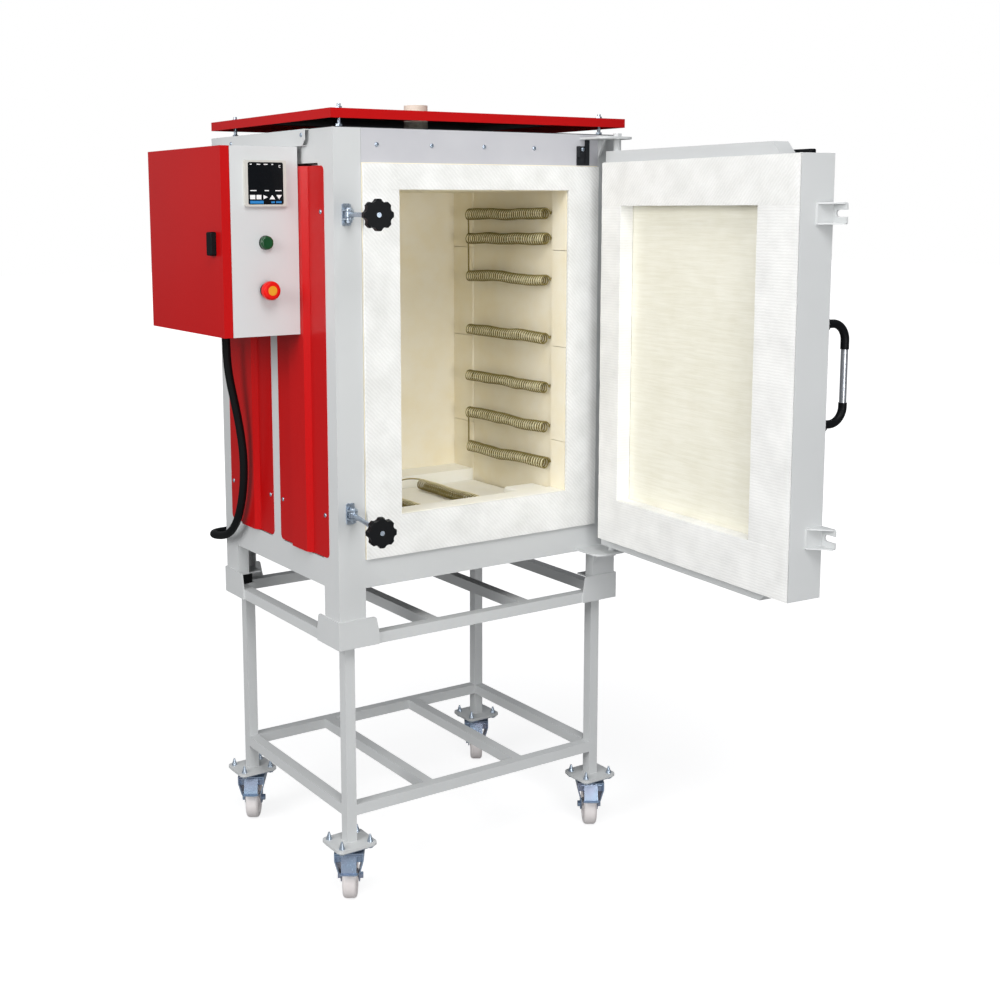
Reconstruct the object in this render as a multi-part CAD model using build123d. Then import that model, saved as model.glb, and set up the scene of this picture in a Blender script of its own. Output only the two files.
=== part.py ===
from build123d import *
import math
import os

# Electric chamber kiln on a wheeled stand, door open. Millimetres, +Z up, the door side faces -Y.
# While it is built, x = 0 is the body's left face, y = 0 its front face and z = 0 the floor.
# The last step moves the origin to the middle of the floor under the whole kiln.

# Body
BODY_W = 766.0
BODY_D = 580.0
BODY_TOP = 1711.0
POST = 66.0
POST_LIP = 28.0
POST_SHEET = 2.5
POST_FOOT = 3.0
RAIL_BOTTOM = 727.0
RAIL_H = 63.0
TOP_RAIL_H = 71.0
RAIL_DEPTH = 30.0
MULLION_W = 60.0
SHEET = 1.5

# Stand
STAND_TUBE = 25.0
STAND_WALL = 2.0
STAND_TOP = 622.0
SHELF_TOP = 225.0
CROSS_BAR_COUNT = 2
CUP_H = 63.0
CUP_WING = 97.0
CUP_T = 4.0
CUP_SLOPE = 7.0
RUBBER_FOOT_R = 26.0
RUBBER_FOOT_H = 28.0
RUBBER_FOOT_PLAY = 0.5

# Castors
WHEEL_R = 50.0
WHEEL_W = 32.0
HUB_R = 14.0
HUB_OVER = 2.0
AXLE_R = 5.0
RUN_FIT = 0.05
TRAIL = 14.0
CASTOR_TURN = -33.0
CASTOR_H = 134.0
CASTOR_PLATE = (95.0, 85.0, 3.0)
FOOT_PLATE = (100.0, 90.0, 6.0)
PLATE_CORNER = 14.0
BOLT_PITCH = (72.0, 60.0)
BOLT_R = 4.0
BOLT_HEAD_R = 7.0
BOLT_HEAD_H = 5.0
BOLT_CONE_H = 17.0
FORK_SHEET = 2.5
FORK_TOP_W = 66.0
FORK_LOW_W = 44.0
FORK_TOP_GAP = 7.0
PEDAL_W = 34.0
PEDAL_LIP_W = 42.0
PEDAL_LIP = 10.0
PEDAL_T = 2.5
PEDAL_DROP = 32.0
PEDAL_OUT = 17.0
SKIRT = (-20.0, -17.5)
SKIRT_DROP = 27.0
TRUNNION_R = 3.0

# Skins of the body
PANEL_GAP = 36.0
PANEL_FROM_FRONT = 41.0
PANEL_Z = (793.0, 1634.0)
PANEL_SHEET = 1.2
PANEL_CORNER = 12.0
RIB_FLANGE = 69.0
RIB_RAMP = 14.0
RIB_H = 10.0
SCREW_R = 5.0
SCREW_H = 3.0
SCREW_EDGE = 14.0
SCREW_Z = (887.0, 1538.0)
RIVET_COUNT = 4
RIVET_Z = 1677.0
RIVET_X = (105.0, 516.0)
ROOF_OVERHANG = 8.0
ROOF_GAP = 18.0
ROOF_RIM = 20.0
STUD_INSET = 35.0
STUD_R = 4.0
STUD_ABOVE = 12.0
STUD_BELOW = 8.0
NUT_R = 7.5
NUT_H = 6.5
REAR_COVER_D = 60.0
REAR_COVER_EDGE = 40.0
REAR_COVER_Z = (715.0, 1560.0)

# Chamber
CHAMBER_W = 453.0
SILL_TOP = 882.0
CHAMBER_TOP = 1583.0
CHAMBER_FLOOR = 845.0
JAMB_D = 54.0
PILASTER_D = 86.0
BACK_SPACE = 110.0
BACK_BOARD = 45.0
LINING = 64.5
WALL_RECESS = 4.0
COURSES = (997.0, 1221.0, 1446.0)
JOINT = 1.2
FLOOR_BRICK = 65.0
LEDGE_H = 30.0
BLOCK = (90.0, 63.0, 35.0)
FIBRE_T = 8.5
FIBRE_EDGE = 67.0
VENT_R = 28.0
VENT_BORE = 20.0
VENT_ABOVE = 35.0
VENT_CLEAR = 2.0

# Heating coils
COIL_R = 12.8
COIL_WIRE = 2.6
WALL_COIL_Z = (939.5, 1026.0, 1122.0, 1238.5, 1375.5, 1470.5, 1530.0)
WALL_COIL_FRONT = 62.0
WALL_COIL_SHORT = 8.0
WALL_COIL_GAP = 3.0
WALL_CURL_COUNT = 12
FLOOR_COIL_X = (262.0, 423.0)
FLOOR_COIL_FRONT = 72.0
FLOOR_COIL_SHORT = 46.0
FLOOR_CURL_COUNT = 8
PROBE_R = 4.0
PROBE_REACH = 70.0
PROBE_Z = 1300.0
PROBE_HEAD = (24.0, 34.0)

# Door, given as it is when shut, then turned open on its pins
DOOR_OPEN = 86.0
DOOR_X = (65.4, 702.4)
DOOR_Z = (771.0, 1646.0)
DOOR_T = 90.0
DOOR_GAP = 0.7
DOOR_FIBRE_PROUD = 6.0
DOOR_RECESS = 37.0
DOOR_BORDER_FREE = 116.0
DOOR_BORDER_HINGE = 74.0
DOOR_BORDER_TOP = 99.0
DOOR_BORDER_LOW = 105.0
HINGE_OUT = 7.6
HINGE_IN = 48.8
PIN_R = 6.0
ARM_W = 40.0
ARM_TOP_H = 26.0
ARM_LOW_H = 24.0
ARM_LENGTH = 554.0
ARM_SLOPE = 24.0
ARM_SHEET = 3.0
ARM_END_R = 16.0
HINGE_PLATE = (98.0, 84.0, 5.0)
HINGE_RIGHT = 34.0
HINGE_PLATE_TOP_Z = 1699.0
HINGE_PLATE_LOW_Z = 735.0
HINGE_WEB_H = 41.0
HINGE_WEB_T = 6.0
WASHER_R = 8.5
TURN_GAP = 0.3
SLOT_Z = (897.0, 1532.0)
SLOT_REACH = 39.4
SLOT_PLATE_H = 42.0
SLOT_W = 13.0
SLOT_LENGTH = 28.0
SLOT_T = 4.0
SLOT_RIB = 44.0
SLOT_RIB_T = 3.0
HANDLE_EDGE = 19.0
HANDLE_Z = (1117.0, 1317.0)
HANDLE_REACH = 62.0
HANDLE_BEND = 34.0
HANDLE_GRIP = (1158.0, 1265.0)
HANDLE_R = 8.5
GRIP_R = 7.0
HANDLE_FLANGE = (15.0, 9.0)
STRIP = (77.0, 14.0, 10.0)
STRIP_EDGE = 47.0

# Swing bolts
SWING_X = 29.0
SWING_OUT = 15.0
SWING_REST = -11.0
SWING_PIN_R = 4.0
EYE_R = 10.0
EYE_H = 13.4
ROD_R = 5.0
ROD_LENGTH = 185.0
KNOB_AT = 158.0
KNOB_H = 28.0
KNOB_R = 31.5
KNOB_POINT_COUNT = 8
KNOB_NOTCH_R = 9.0
KNOB_HUB_R = 14.0
LUG = (20.0, 4.0)
LUG_PLATE = (20.0, 46.0, 4.0)

# Control box
CASE_W = 157.5
CASE_D = 401.0
CASE_H = 400.0
CASE_DOWN = 36.0
CASE_FROM_BACK = 43.0
CASE_LID = 20.0
LID_GAP = 0.5
CASE_HINGE_OUT = 4.0
BARREL_R = 3.5
BARREL_H = 30.0
LATCH_IN = 42.0
LATCH_UP = 197.0
LATCH = (13.0, 24.0, 50.0)
LATCH_SPINDLE_R = 6.0
LATCH_CAM = (3.0, 12.0, 26.0)
CONTROLLER_DOWN = 77.5
BEZEL = 96.0
BEZEL_T = 8.0
CONTROLLER_BODY = (89.0, 75.0)
LAMP_DOWN = 201.5
LAMP_R = 14.5
LAMP_OUT = 12.0
STOP_DOWN = 302.0
STOP_COLLAR_R = 15.0
STOP_COLLAR_H = 9.0
STOP_NECK_R = 10.0
STOP_HEAD_R = 20.0
STOP_HEAD_H = 15.0
STOP_TRAVEL = 5.0
FITTING_R = 11.0
FITTING_BACK = 30.0
RAIL_T = 12.0
CASE_RAIL_H = 35.0
CASE_RAIL_PAST = 34.0
CASE_RAIL_CUT = 14.0
LOW_RAIL_UP = 25.0
LOW_RAIL_IN = 78.0
LOW_RAIL_L = 158.0

# Conduit from the control box to the rear cover
CONDUIT_D = 19.0
GLAND_R = 15.0
GLAND_H = 22.0
REAR_GLAND_H = 14.0
CONDUIT_ROUTE = (
    (-56, -166, 1150), (-47, -175, 1090), (-39, -181, 1030), (-33, -183, 970), (-31, -177, 910),
    (-31, -162, 855), (-31, -134, 803), (-31, -90, 765), (-31, -35, 748), (-31, 18, 742), (-7, 42, 741),
)
CONDUIT_FROM = (-60, -161)
CONDUIT_DROP = 48.0

# Gear in the control box: shares of its depth behind the door, its width and its height
GEAR = (
    ((0.0, 0.0127), (0.3, 0.9), (0.1, 0.9)),
    ((0.0127, 0.057), (0.35, 0.85), (0.575, 0.6625)),
    ((0.057, 0.533), (0.375, 0.4875), (0.5125, 0.725)),
    ((0.057, 0.406), (0.535, 0.8), (0.555, 0.68)),
    ((0.0127, 0.394), (0.4, 0.65), (0.175, 0.375)),
)

# Bracket and strap at the right end of the upper front panel
STRIKE_X = (637.0, 659.0)
STRIKE_H = 43.0
STRIKE_LIP = (3.0, 11.0, 24.0)
STRAP_X = (661.0, 673.0)
STRAP_T = 3.0

# Places that follow from the sizes above
MID_X = BODY_W / 2
MID_Y = BODY_D / 2
CHAMBER_X = (MID_X - CHAMBER_W / 2, MID_X + CHAMBER_W / 2)
STAND_LOW = STAND_TOP - STAND_TUBE
POST_BOTTOM = STAND_TOP + RUBBER_FOOT_H
LEG_BOTTOM = CASTOR_H + FOOT_PLATE[2]
RAIL_TOP = RAIL_BOTTOM + RAIL_H
TOP_RAIL_Z = BODY_TOP - TOP_RAIL_H
ROOF_LOW = BODY_TOP + ROOF_GAP
ROOF_TOP = ROOF_LOW + ROOF_RIM
LEG_MID = STAND_TUBE * 1.5
DOOR_FACE = -FIBRE_T - DOOR_GAP
DOOR_BACK = DOOR_FACE - DOOR_T
PIN_X = DOOR_X[1] + HINGE_OUT
PIN_Y = DOOR_FACE - HINGE_IN
SWING_Y = -SWING_OUT
PANEL_W = (BODY_D - 2 * PANEL_FROM_FRONT - PANEL_GAP) / 2
BACK_WALL_Y = BODY_D - BACK_SPACE
PILASTER_Y = BACK_WALL_Y - PILASTER_D
WALL_COIL_Y = (WALL_COIL_FRONT, PILASTER_Y - WALL_COIL_SHORT)
FLOOR_COIL_Y = (FLOOR_COIL_FRONT, PILASTER_Y - FLOOR_COIL_SHORT)
FIBRE_Z = (RAIL_TOP, TOP_RAIL_Z - 1.0)
CASE_X = (-RAIL_T - CASE_W, -RAIL_T)
CASE_Y = (BODY_D - CASE_FROM_BACK - CASE_D, BODY_D - CASE_FROM_BACK)
CASE_Z = (BODY_TOP - CASE_DOWN - CASE_H, BODY_TOP - CASE_DOWN)
PANEL_LINE_X = (CASE_X[0] + CASE_X[1]) / 2
LATCH_Y = CASE_Y[0] + LATCH_IN
LATCH_Z = CASE_Z[0] + LATCH_UP
CONTROLLER_Z = CASE_Z[1] - CONTROLLER_DOWN
LAMP_Z = CASE_Z[1] - LAMP_DOWN
STOP_Z = CASE_Z[1] - STOP_DOWN
CASE_RAIL_Y = (CASE_Y[0] - CASE_RAIL_PAST, BODY_D)
LOW_RAIL_Z = CASE_Z[0] + LOW_RAIL_UP
LOW_RAIL_Y = (CASE_Y[0] + LOW_RAIL_IN, CASE_Y[0] + LOW_RAIL_IN + LOW_RAIL_L)
CONDUIT_TOP = (CONDUIT_FROM[0], BODY_D + CONDUIT_FROM[1], CASE_Z[0] - GLAND_H)
CONDUIT = (
    CONDUIT_TOP,
    (CONDUIT_TOP[0], CONDUIT_TOP[1], CONDUIT_TOP[2] - CONDUIT_DROP),
    *((x, BODY_D + y, z) for x, y, z in CONDUIT_ROUTE),
    (REAR_COVER_EDGE - REAR_GLAND_H, BODY_D + CONDUIT_ROUTE[-1][1], CONDUIT_ROUTE[-1][2]),
)
LID_X = CASE_X[0] - LID_GAP
CASE_PIN_Y = CASE_Y[1] + CASE_HINGE_OUT
ARM_TOP_Z = DOOR_Z[1] + ARM_TOP_H
ARM_LOW_Z = DOOR_Z[0] - ARM_LOW_H


def block(x, y, z):
    """A box between pairs of coordinates."""
    size = (x[1] - x[0], y[1] - y[0], z[1] - z[0])
    return Pos((x[0] + x[1]) / 2, (y[0] + y[1]) / 2, (z[0] + z[1]) / 2) * Box(*size)


def rod(start, direction, radius, length):
    """A cylinder from a point along a direction."""
    return Plane(origin=start, z_dir=direction) * Pos(0, 0, length / 2) * Cylinder(radius, length)


def nut(start, direction, across, height):
    """A hexagonal nut from a point along a direction."""
    return Plane(origin=start, z_dir=direction) * extrude(RegularPolygon(across, 6), height)


def square_tube(x, y, z, along):
    """A square tube with open ends, hollow along one axis."""
    spans = [x, y, z]
    inner = [s if i == along else (s[0] + STAND_WALL, s[1] - STAND_WALL) for i, s in enumerate(spans)]
    return block(x, y, z) - block(*inner)


def mirrored_x(shape):
    """The same piece on the body's other side."""
    return mirror(shape, about=Plane(origin=(MID_X, 0, 0), z_dir=(1, 0, 0)))


def mirrored_y(shape):
    """The same piece at the body's back."""
    return mirror(shape, about=Plane(origin=(0, MID_Y, 0), z_dir=(0, 1, 0)))


def four_corners(shape):
    """The piece of the near left corner at all four corners."""
    left = [shape, mirrored_y(shape)]
    return left + [mirrored_x(s) for s in left]


def prism(plane, points, thickness):
    """A plate cut to an outline drawn on a plane."""
    return plane * extrude(make_face(Polyline(*points, close=True).edges()), thickness)


def stand():
    """Legs, rails, corner cups and rubber feet of the wheeled stand."""
    t = STAND_TUBE
    leg = square_tube((t, 2 * t), (t, 2 * t), (LEG_BOTTOM, STAND_TOP), 2)
    rails = []
    for low, inset in ((STAND_LOW, 0.0), (SHELF_TOP - t, t)):
        z = (low, low + t)
        ends = inset if inset == 0.0 else 2 * t
        sides = t if inset == 0.0 else 2 * t
        front = square_tube((ends, BODY_W - ends), (inset, inset + t), z, 0)
        left = square_tube((inset, inset + t), (sides, BODY_D - sides), z, 1)
        rails += [front, mirrored_y(front), left, mirrored_x(left)]
        for i in range(CROSS_BAR_COUNT):
            x = BODY_W * (i + 1) / (CROSS_BAR_COUNT + 1)
            rails.append(square_tube((x - t / 2, x + t / 2), (inset + t, BODY_D - inset - t), z, 1))
    wing = ((-CUP_T, STAND_LOW), (CUP_WING, STAND_LOW), (CUP_WING, STAND_TOP),
            (CUP_WING - CUP_SLOPE, STAND_LOW + CUP_H), (-CUP_T, STAND_LOW + CUP_H))
    front_wing = prism(Plane.XZ, wing, CUP_T)
    side_wing = prism(Plane.YZ, wing, -CUP_T)
    cup = front_wing + side_wing
    high = [e for e in cup.edges() if e.center().Z > STAND_LOW + CUP_H - 1]
    tips = [e for e in high if max(e.center().X, e.center().Y) > CUP_WING - CUP_SLOPE
            - 1 and e.length < CUP_T + 1]
    cup = fillet(tips, CUP_SLOPE)
    foot_in = RUBBER_FOOT_R + RUBBER_FOOT_PLAY
    foot = rod((foot_in, foot_in, STAND_TOP), (0, 0, 1), RUBBER_FOOT_R, RUBBER_FOOT_H)
    return {
        "stand_frame": four_corners(leg) + rails,
        "corner_cups": four_corners(cup),
        "rubber_feet": four_corners(foot),
    }


def bolt_places():
    """Offsets of one castor's four bolts from the middle of its plate."""
    return [(sx * BOLT_PITCH[0] / 2, sy * BOLT_PITCH[1] / 2) for sx in (-1, 1) for sy in (-1, 1)]


def castor_places():
    """Middle of each castor with the words of its name."""
    return {
        "front_left": (LEG_MID, LEG_MID),
        "back_left": (LEG_MID, BODY_D - LEG_MID),
        "front_right": (BODY_W - LEG_MID, LEG_MID),
        "back_right": (BODY_W - LEG_MID, BODY_D - LEG_MID),
    }


def castor_wheel():
    """Wheel with its hub, turned about its axle."""
    half = WHEEL_W / 2
    hub = half + HUB_OVER
    bore = AXLE_R + RUN_FIT
    rim = WHEEL_R * 0.76
    web = half * 0.55
    tread = 8.0
    outline = Polyline(
        (half, WHEEL_R - tread), (half, rim), (web, rim - 4), (web, HUB_R + 3), (hub, HUB_R), (hub, bore),
        (-hub, bore), (-hub, HUB_R), (-web, HUB_R + 3), (-web, rim - 4), (-half, rim),
        (-half, WHEEL_R - tread),
    )
    shoulder = tread * (1 - math.sqrt(0.5))
    left = ThreePointArc((-half, WHEEL_R - tread), (-half + shoulder, WHEEL_R - shoulder),
                         (-half + tread, WHEEL_R))
    top = Line((-half + tread, WHEEL_R), (half - tread, WHEEL_R))
    right = ThreePointArc((half - tread, WHEEL_R), (half - shoulder, WHEEL_R - shoulder),
                          (half, WHEEL_R - tread))
    face = make_face(outline.edges() + left.edges() + top.edges() + right.edges())
    return Pos(0, TRAIL, WHEEL_R) * revolve(face, Axis.X)


def castor_fork():
    """Pressed fork with its swivel neck and the axle bolt, as two solids."""
    top = CASTOR_H - CASTOR_PLATE[2] - FORK_TOP_GAP
    out = FORK_TOP_W / 2
    low = FORK_LOW_W / 2
    s = FORK_SHEET
    shoulder = top - 19.0
    waist = WHEEL_R + 16.0
    foot = WHEEL_R - 13.0
    half = [(0, top), (out, top), (out, shoulder), (low, waist), (low, foot),
            (low - s, foot), (low - s, waist + 0.6), (out - s, shoulder + 0.6), (out - s, top - s),
            (0, top - s)]
    section = half + [(-x, z) for x, z in reversed(half[1:-1])]
    bent = Pos(0, 45, 0) * prism(Plane.XZ, section, 90)
    side = ((-35, top), (30, top), (30, shoulder - 6), (TRAIL + 11, WHEEL_R), (TRAIL + 6, foot),
            (TRAIL - 6, foot), (TRAIL - 14, WHEEL_R), (-32, WHEEL_R + 26))
    outline = Pos(-50, 0, 0) * prism(Plane.YZ, side, 100)
    fork = bent & outline
    neck = rod((0, 0, top - 1), (0, 0, 1), 16.0, CASTOR_H - CASTOR_PLATE[2] - TURN_GAP - top + 1)
    skirt = block((s - out, out - s), SKIRT, (top - SKIRT_DROP, top - s / 2))
    fork = fork + neck + (skirt & bent_room(section, out))
    fork -= rod((-out - 1, TRAIL, WHEEL_R), (1, 0, 0), AXLE_R + RUN_FIT, FORK_TOP_W + 2)
    fork -= rod((-out - 1, *trunnion()), (1, 0, 0), TRUNNION_R + RUN_FIT, FORK_TOP_W + 2)
    axle = rod((-low - 1, TRAIL, WHEEL_R), (1, 0, 0), AXLE_R, 2 * low + 2)
    axle += nut((-low - 6.5, TRAIL, WHEEL_R), (1, 0, 0), 8.0, 6.5)
    axle += nut((low, TRAIL, WHEEL_R), (1, 0, 0), 8.0, 7.0)
    return [fork, axle]


def bent_room(section, out):
    """The space inside the bent sheet, up to its middle plane, where a cross sheet can stand."""
    inner = section[:5] + [(-x, z) for x, z in reversed(section[1:5])]
    return Pos(0, out * 2, 0) * prism(Plane.XZ, inner, out * 4)


def trunnion():
    """Place of the brake pedal's pivot in the castor, as y and z."""
    return (-25.0, CASTOR_H - CASTOR_PLATE[2] - 16.0)


def castor_pedal():
    """Brake pedal with its lip and its pivot."""
    y, z = trunnion()
    low = z - PEDAL_DROP
    out = y - PEDAL_OUT
    t = PEDAL_T
    profile = ((y, z), (y, z + t), (y - t, z + t), (out - t, low), (out - t - PEDAL_LIP, low),
               (out - t - PEDAL_LIP, low - t),
               (out, low - t))
    plate = Pos(-PEDAL_W / 2, 0, 0) * prism(Plane.YZ, profile, PEDAL_W)
    lip = block((-PEDAL_LIP_W / 2, PEDAL_LIP_W / 2), (out - t - PEDAL_LIP, out - t), (low - t, low))
    lip = fillet(lip.edges().filter_by(Axis.Z).sort_by(Axis.Y)[:2], PEDAL_LIP * 0.8)
    reach = FORK_TOP_W / 2 - 0.5
    pivot = rod((-reach, y, z), (1, 0, 0), TRUNNION_R, 2 * reach)
    return plate + lip + pivot


def castors():
    """Foot plates, castor plates with bolts, forks, wheels and pedals."""
    nodes = {"foot_plates": [], "castor_plates": []}
    for name, (x, y) in castor_places().items():
        place = Pos(x, y, 0)
        for key, size, low in (("foot_plates", FOOT_PLATE, CASTOR_H),
                               ("castor_plates", CASTOR_PLATE, CASTOR_H - CASTOR_PLATE[2])):
            plate = Pos(0, 0, low + size[2] / 2) * Box(*size)
            plate = fillet(plate.edges().filter_by(Axis.Z), PLATE_CORNER)
            for bx, by in bolt_places():
                plate -= rod((bx, by, low - 1), (0, 0, 1), BOLT_R + 0.2, size[2] + 2)
            nodes[key].append(place * plate)
        for bx, by in bolt_places():
            top = CASTOR_H + FOOT_PLATE[2]
            bottom = CASTOR_H - CASTOR_PLATE[2]
            bolt = rod((bx, by, bottom - 1), (0, 0, 1), BOLT_R, top - bottom + 2)
            bolt += nut((bx, by, bottom - BOLT_HEAD_H), (0, 0, 1), BOLT_HEAD_R, BOLT_HEAD_H)
            cone = Pos(bx, by, top + BOLT_CONE_H / 2) * Cone(BOLT_HEAD_R, BOLT_HEAD_R * 0.25, BOLT_CONE_H)
            nodes["castor_plates"].append(place * (bolt + cone))
        turn = place * Rot(0, 0, CASTOR_TURN)
        nodes["castor_fork_" + name] = [turn * s for s in castor_fork()]
        nodes["castor_wheel_" + name] = [turn * castor_wheel()]
        nodes["castor_pedal_" + name] = [turn * castor_pedal()]
    return nodes


def channel(length, height, depth, sheet):
    """A channel along X with its web at y = 0 and its flanges to +Y, from the origin."""
    web = block((0, length), (0, sheet), (0, height))
    low = block((0, length), (0, depth), (0, sheet))
    high = block((0, length), (0, depth), (height - sheet, height))
    return web + low + high


def frame():
    """Corner posts and the rails between them."""
    s = POST_SHEET
    p = POST
    lip = POST_LIP
    outline = ((0, 0), (p, 0), (p, lip), (p - s, lip), (p - s, s), (s, s), (s, p - s), (lip, p - s),
               (lip, p), (0, p))
    post = Pos(0, 0, POST_BOTTOM) * prism(Plane.XY, outline, BODY_TOP - POST_BOTTOM)
    post += block((s, p - s), (s, p - s), (POST_BOTTOM, POST_BOTTOM + POST_FOOT))
    rails = []
    long_x = BODY_W - 2 * p
    long_y = BODY_D - 2 * p
    for low, height, back in ((RAIL_BOTTOM, RAIL_H, 0.0), (TOP_RAIL_Z, TOP_RAIL_H, SHEET)):
        front = Pos(p, back, low) * channel(long_x, height, RAIL_DEPTH - back, s)
        rear = mirrored_y(Pos(p, 0, low) * channel(long_x, height, RAIL_DEPTH, s))
        left = Pos(0, p + long_y, low) * Rot(0, 0, -90) * channel(long_y, height, RAIL_DEPTH, s)
        rails += [front, rear, left, mirrored_x(left)]
    mullion_mid = PANEL_FROM_FRONT + PANEL_W + PANEL_GAP / 2
    mullion = block((0, s), (mullion_mid - MULLION_W / 2, mullion_mid + MULLION_W / 2),
                    (RAIL_TOP, TOP_RAIL_Z))
    rails += [mullion, mirrored_x(mullion)]
    return {"corner_posts": four_corners(post), "frame_rails": rails}


def panel_starts():
    """Front edge of each side panel."""
    return (PANEL_FROM_FRONT, PANEL_FROM_FRONT + PANEL_W + PANEL_GAP)


def side_panel(y):
    """A side panel with its pressed rib, on the left face."""
    t = PANEL_SHEET
    a = y + RIB_FLANGE
    b = y + PANEL_W - RIB_FLANGE + 6.0
    r = RIB_RAMP
    outline = ((0, y), (-t, y), (-t, a), (-t - RIB_H, a + r), (-t - RIB_H, b - r), (-t, b),
               (-t, y + PANEL_W),
               (0, y + PANEL_W), (0, b - 0.5), (-RIB_H, b - r - 0.5), (-RIB_H, a + r + 0.5), (0, a + 0.5))
    sheet = Pos(0, 0, PANEL_Z[0]) * prism(Plane.XY, outline, PANEL_Z[1] - PANEL_Z[0])
    corners = [e for e in sheet.edges().filter_by(Axis.X)
               if min(abs(e.center().Y - y), abs(e.center().Y - y - PANEL_W)) < 0.01]
    return fillet(corners, PANEL_CORNER)


def screw_head(point, direction):
    """A domed screw head standing on a face."""
    head = rod(point, direction, SCREW_R, SCREW_H)
    return fillet(head.edges().sort_by(Axis(point, direction))[-1], SCREW_H * 0.6)


def skins():
    """Side, front, rear, top and bottom sheets, their screws, the roof and its studs."""
    sides = []
    screws = []
    for y in panel_starts():
        sheet = side_panel(y)
        sides += [sheet, mirrored_x(sheet)]
        for edge in (y + SCREW_EDGE, y + PANEL_W - SCREW_EDGE):
            for z in SCREW_Z:
                head = screw_head((-PANEL_SHEET, edge, z), (-1, 0, 0))
                screws += [head, mirrored_x(head)]
    gap = 0.5
    front = block((POST + gap, BODY_W - POST - gap), (0, SHEET), (TOP_RAIL_Z, BODY_TOP))
    step = (RIVET_X[1] - RIVET_X[0]) / (RIVET_COUNT - 1)
    for i in range(RIVET_COUNT):
        screws.append(screw_head((RIVET_X[0] + i * step, 0, RIVET_Z), (0, -1, 0)))
    for y, down in ((CASE_RAIL_Y[0] + 14.0, 12.0), (CASE_RAIL_Y[1] - 110.0, 17.0)):
        screws.append(screw_head((-RAIL_T, y, BODY_TOP - down), (-1, 0, 0)))
    t, deep, tall = STRIKE_LIP
    strike_z = (TOP_RAIL_Z + 1.0, TOP_RAIL_Z + 1.0 + STRIKE_H)
    strike = block(STRIKE_X, (-t, 0), strike_z)
    strike += block((STRIKE_X[0], STRIKE_X[0] + t), (-deep, -t), (strike_z[1] - tall, strike_z[1]))
    screws.append(screw_head((STRIKE_X[1] - SCREW_R - 1, -t, strike_z[1] - SCREW_R - 2), (0, -1, 0)))
    strap = block(STRAP_X, (-STRAP_T, 0), (TOP_RAIL_Z + 1.0, HINGE_PLATE_TOP_Z - 0.5))
    rear = block((POST_LIP, BODY_W - POST_LIP), (BODY_D, BODY_D + SHEET), (RAIL_BOTTOM, BODY_TOP))
    rear -= rod((MID_X, BODY_D - 1, PROBE_Z), (0, 1, 0), PROBE_R + 0.5, SHEET + 2)
    top = block((0, BODY_W), (0, BODY_D), (BODY_TOP, BODY_TOP + SHEET))
    vent_hole = rod((MID_X, MID_Y, BODY_TOP - 1), (0, 0, 1), VENT_R + VENT_CLEAR, ROOF_TOP - BODY_TOP + 2)
    stud_hole = rod((STUD_INSET, STUD_INSET, BODY_TOP - 1), (0, 0, 1), STUD_R + 0.2,
                    ROOF_TOP - BODY_TOP + 2)
    top -= vent_hole
    for hole in four_corners(stud_hole):
        top -= hole
    inside = (RAIL_DEPTH + gap, BODY_W - RAIL_DEPTH - gap)
    inside_y = (RAIL_DEPTH + gap, BODY_D - RAIL_DEPTH - gap)
    bottom = block(inside, inside_y, (RAIL_BOTTOM + POST_SHEET, RAIL_BOTTOM + POST_SHEET + SHEET))
    o = ROOF_OVERHANG
    roof = block((-o, BODY_W + o), (-o, BODY_D + o), (ROOF_LOW, ROOF_TOP))
    roof -= block((SHEET - o, BODY_W + o - SHEET), (SHEET - o, BODY_D + o - SHEET),
                  (ROOF_LOW - 1, ROOF_TOP - SHEET))
    roof -= vent_hole
    for hole in four_corners(stud_hole):
        roof -= hole
    stud_low = BODY_TOP - STUD_BELOW
    stud = rod((STUD_INSET, STUD_INSET, stud_low), (0, 0, 1), STUD_R, ROOF_TOP + STUD_ABOVE - stud_low)
    for z in (BODY_TOP + SHEET, ROOF_TOP - SHEET - NUT_H, ROOF_TOP):
        stud += nut((STUD_INSET, STUD_INSET, z), (0, 0, 1), NUT_R, NUT_H)
    cover = block((REAR_COVER_EDGE, BODY_W - REAR_COVER_EDGE),
                  (BODY_D + SHEET, BODY_D + SHEET + REAR_COVER_D),
                  REAR_COVER_Z)
    e = REAR_COVER_EDGE + SHEET
    cover -= block((e, BODY_W - e), (BODY_D, BODY_D + REAR_COVER_D),
                   (REAR_COVER_Z[0] + SHEET, REAR_COVER_Z[1] - SHEET))
    cover -= rod((REAR_COVER_EDGE - 1, CONDUIT[-1][1], CONDUIT[-1][2]), (1, 0, 0), FITTING_R, SHEET + 2)
    return {
        "side_panels": sides,
        "front_panel": [front],
        "casing_sheets": [rear, top, bottom, strike, strap],
        "panel_screws": screws,
        "roof_plate": [roof],
        "roof_studs": four_corners(stud),
        "rear_cover": [cover],
    }


def courses(x, y, z_low, z_high):
    """Bricks one above another, with an open joint between them."""
    levels = [z_low] + [z for z in COURSES if z_low < z < z_high] + [z_high]
    bricks = []
    for low, high in zip(levels, levels[1:]):
        start = low if low == z_low else low + JOINT / 2
        end = high if high == z_high else high - JOINT / 2
        bricks.append(block(x, y, (start, end)))
    return bricks


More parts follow.
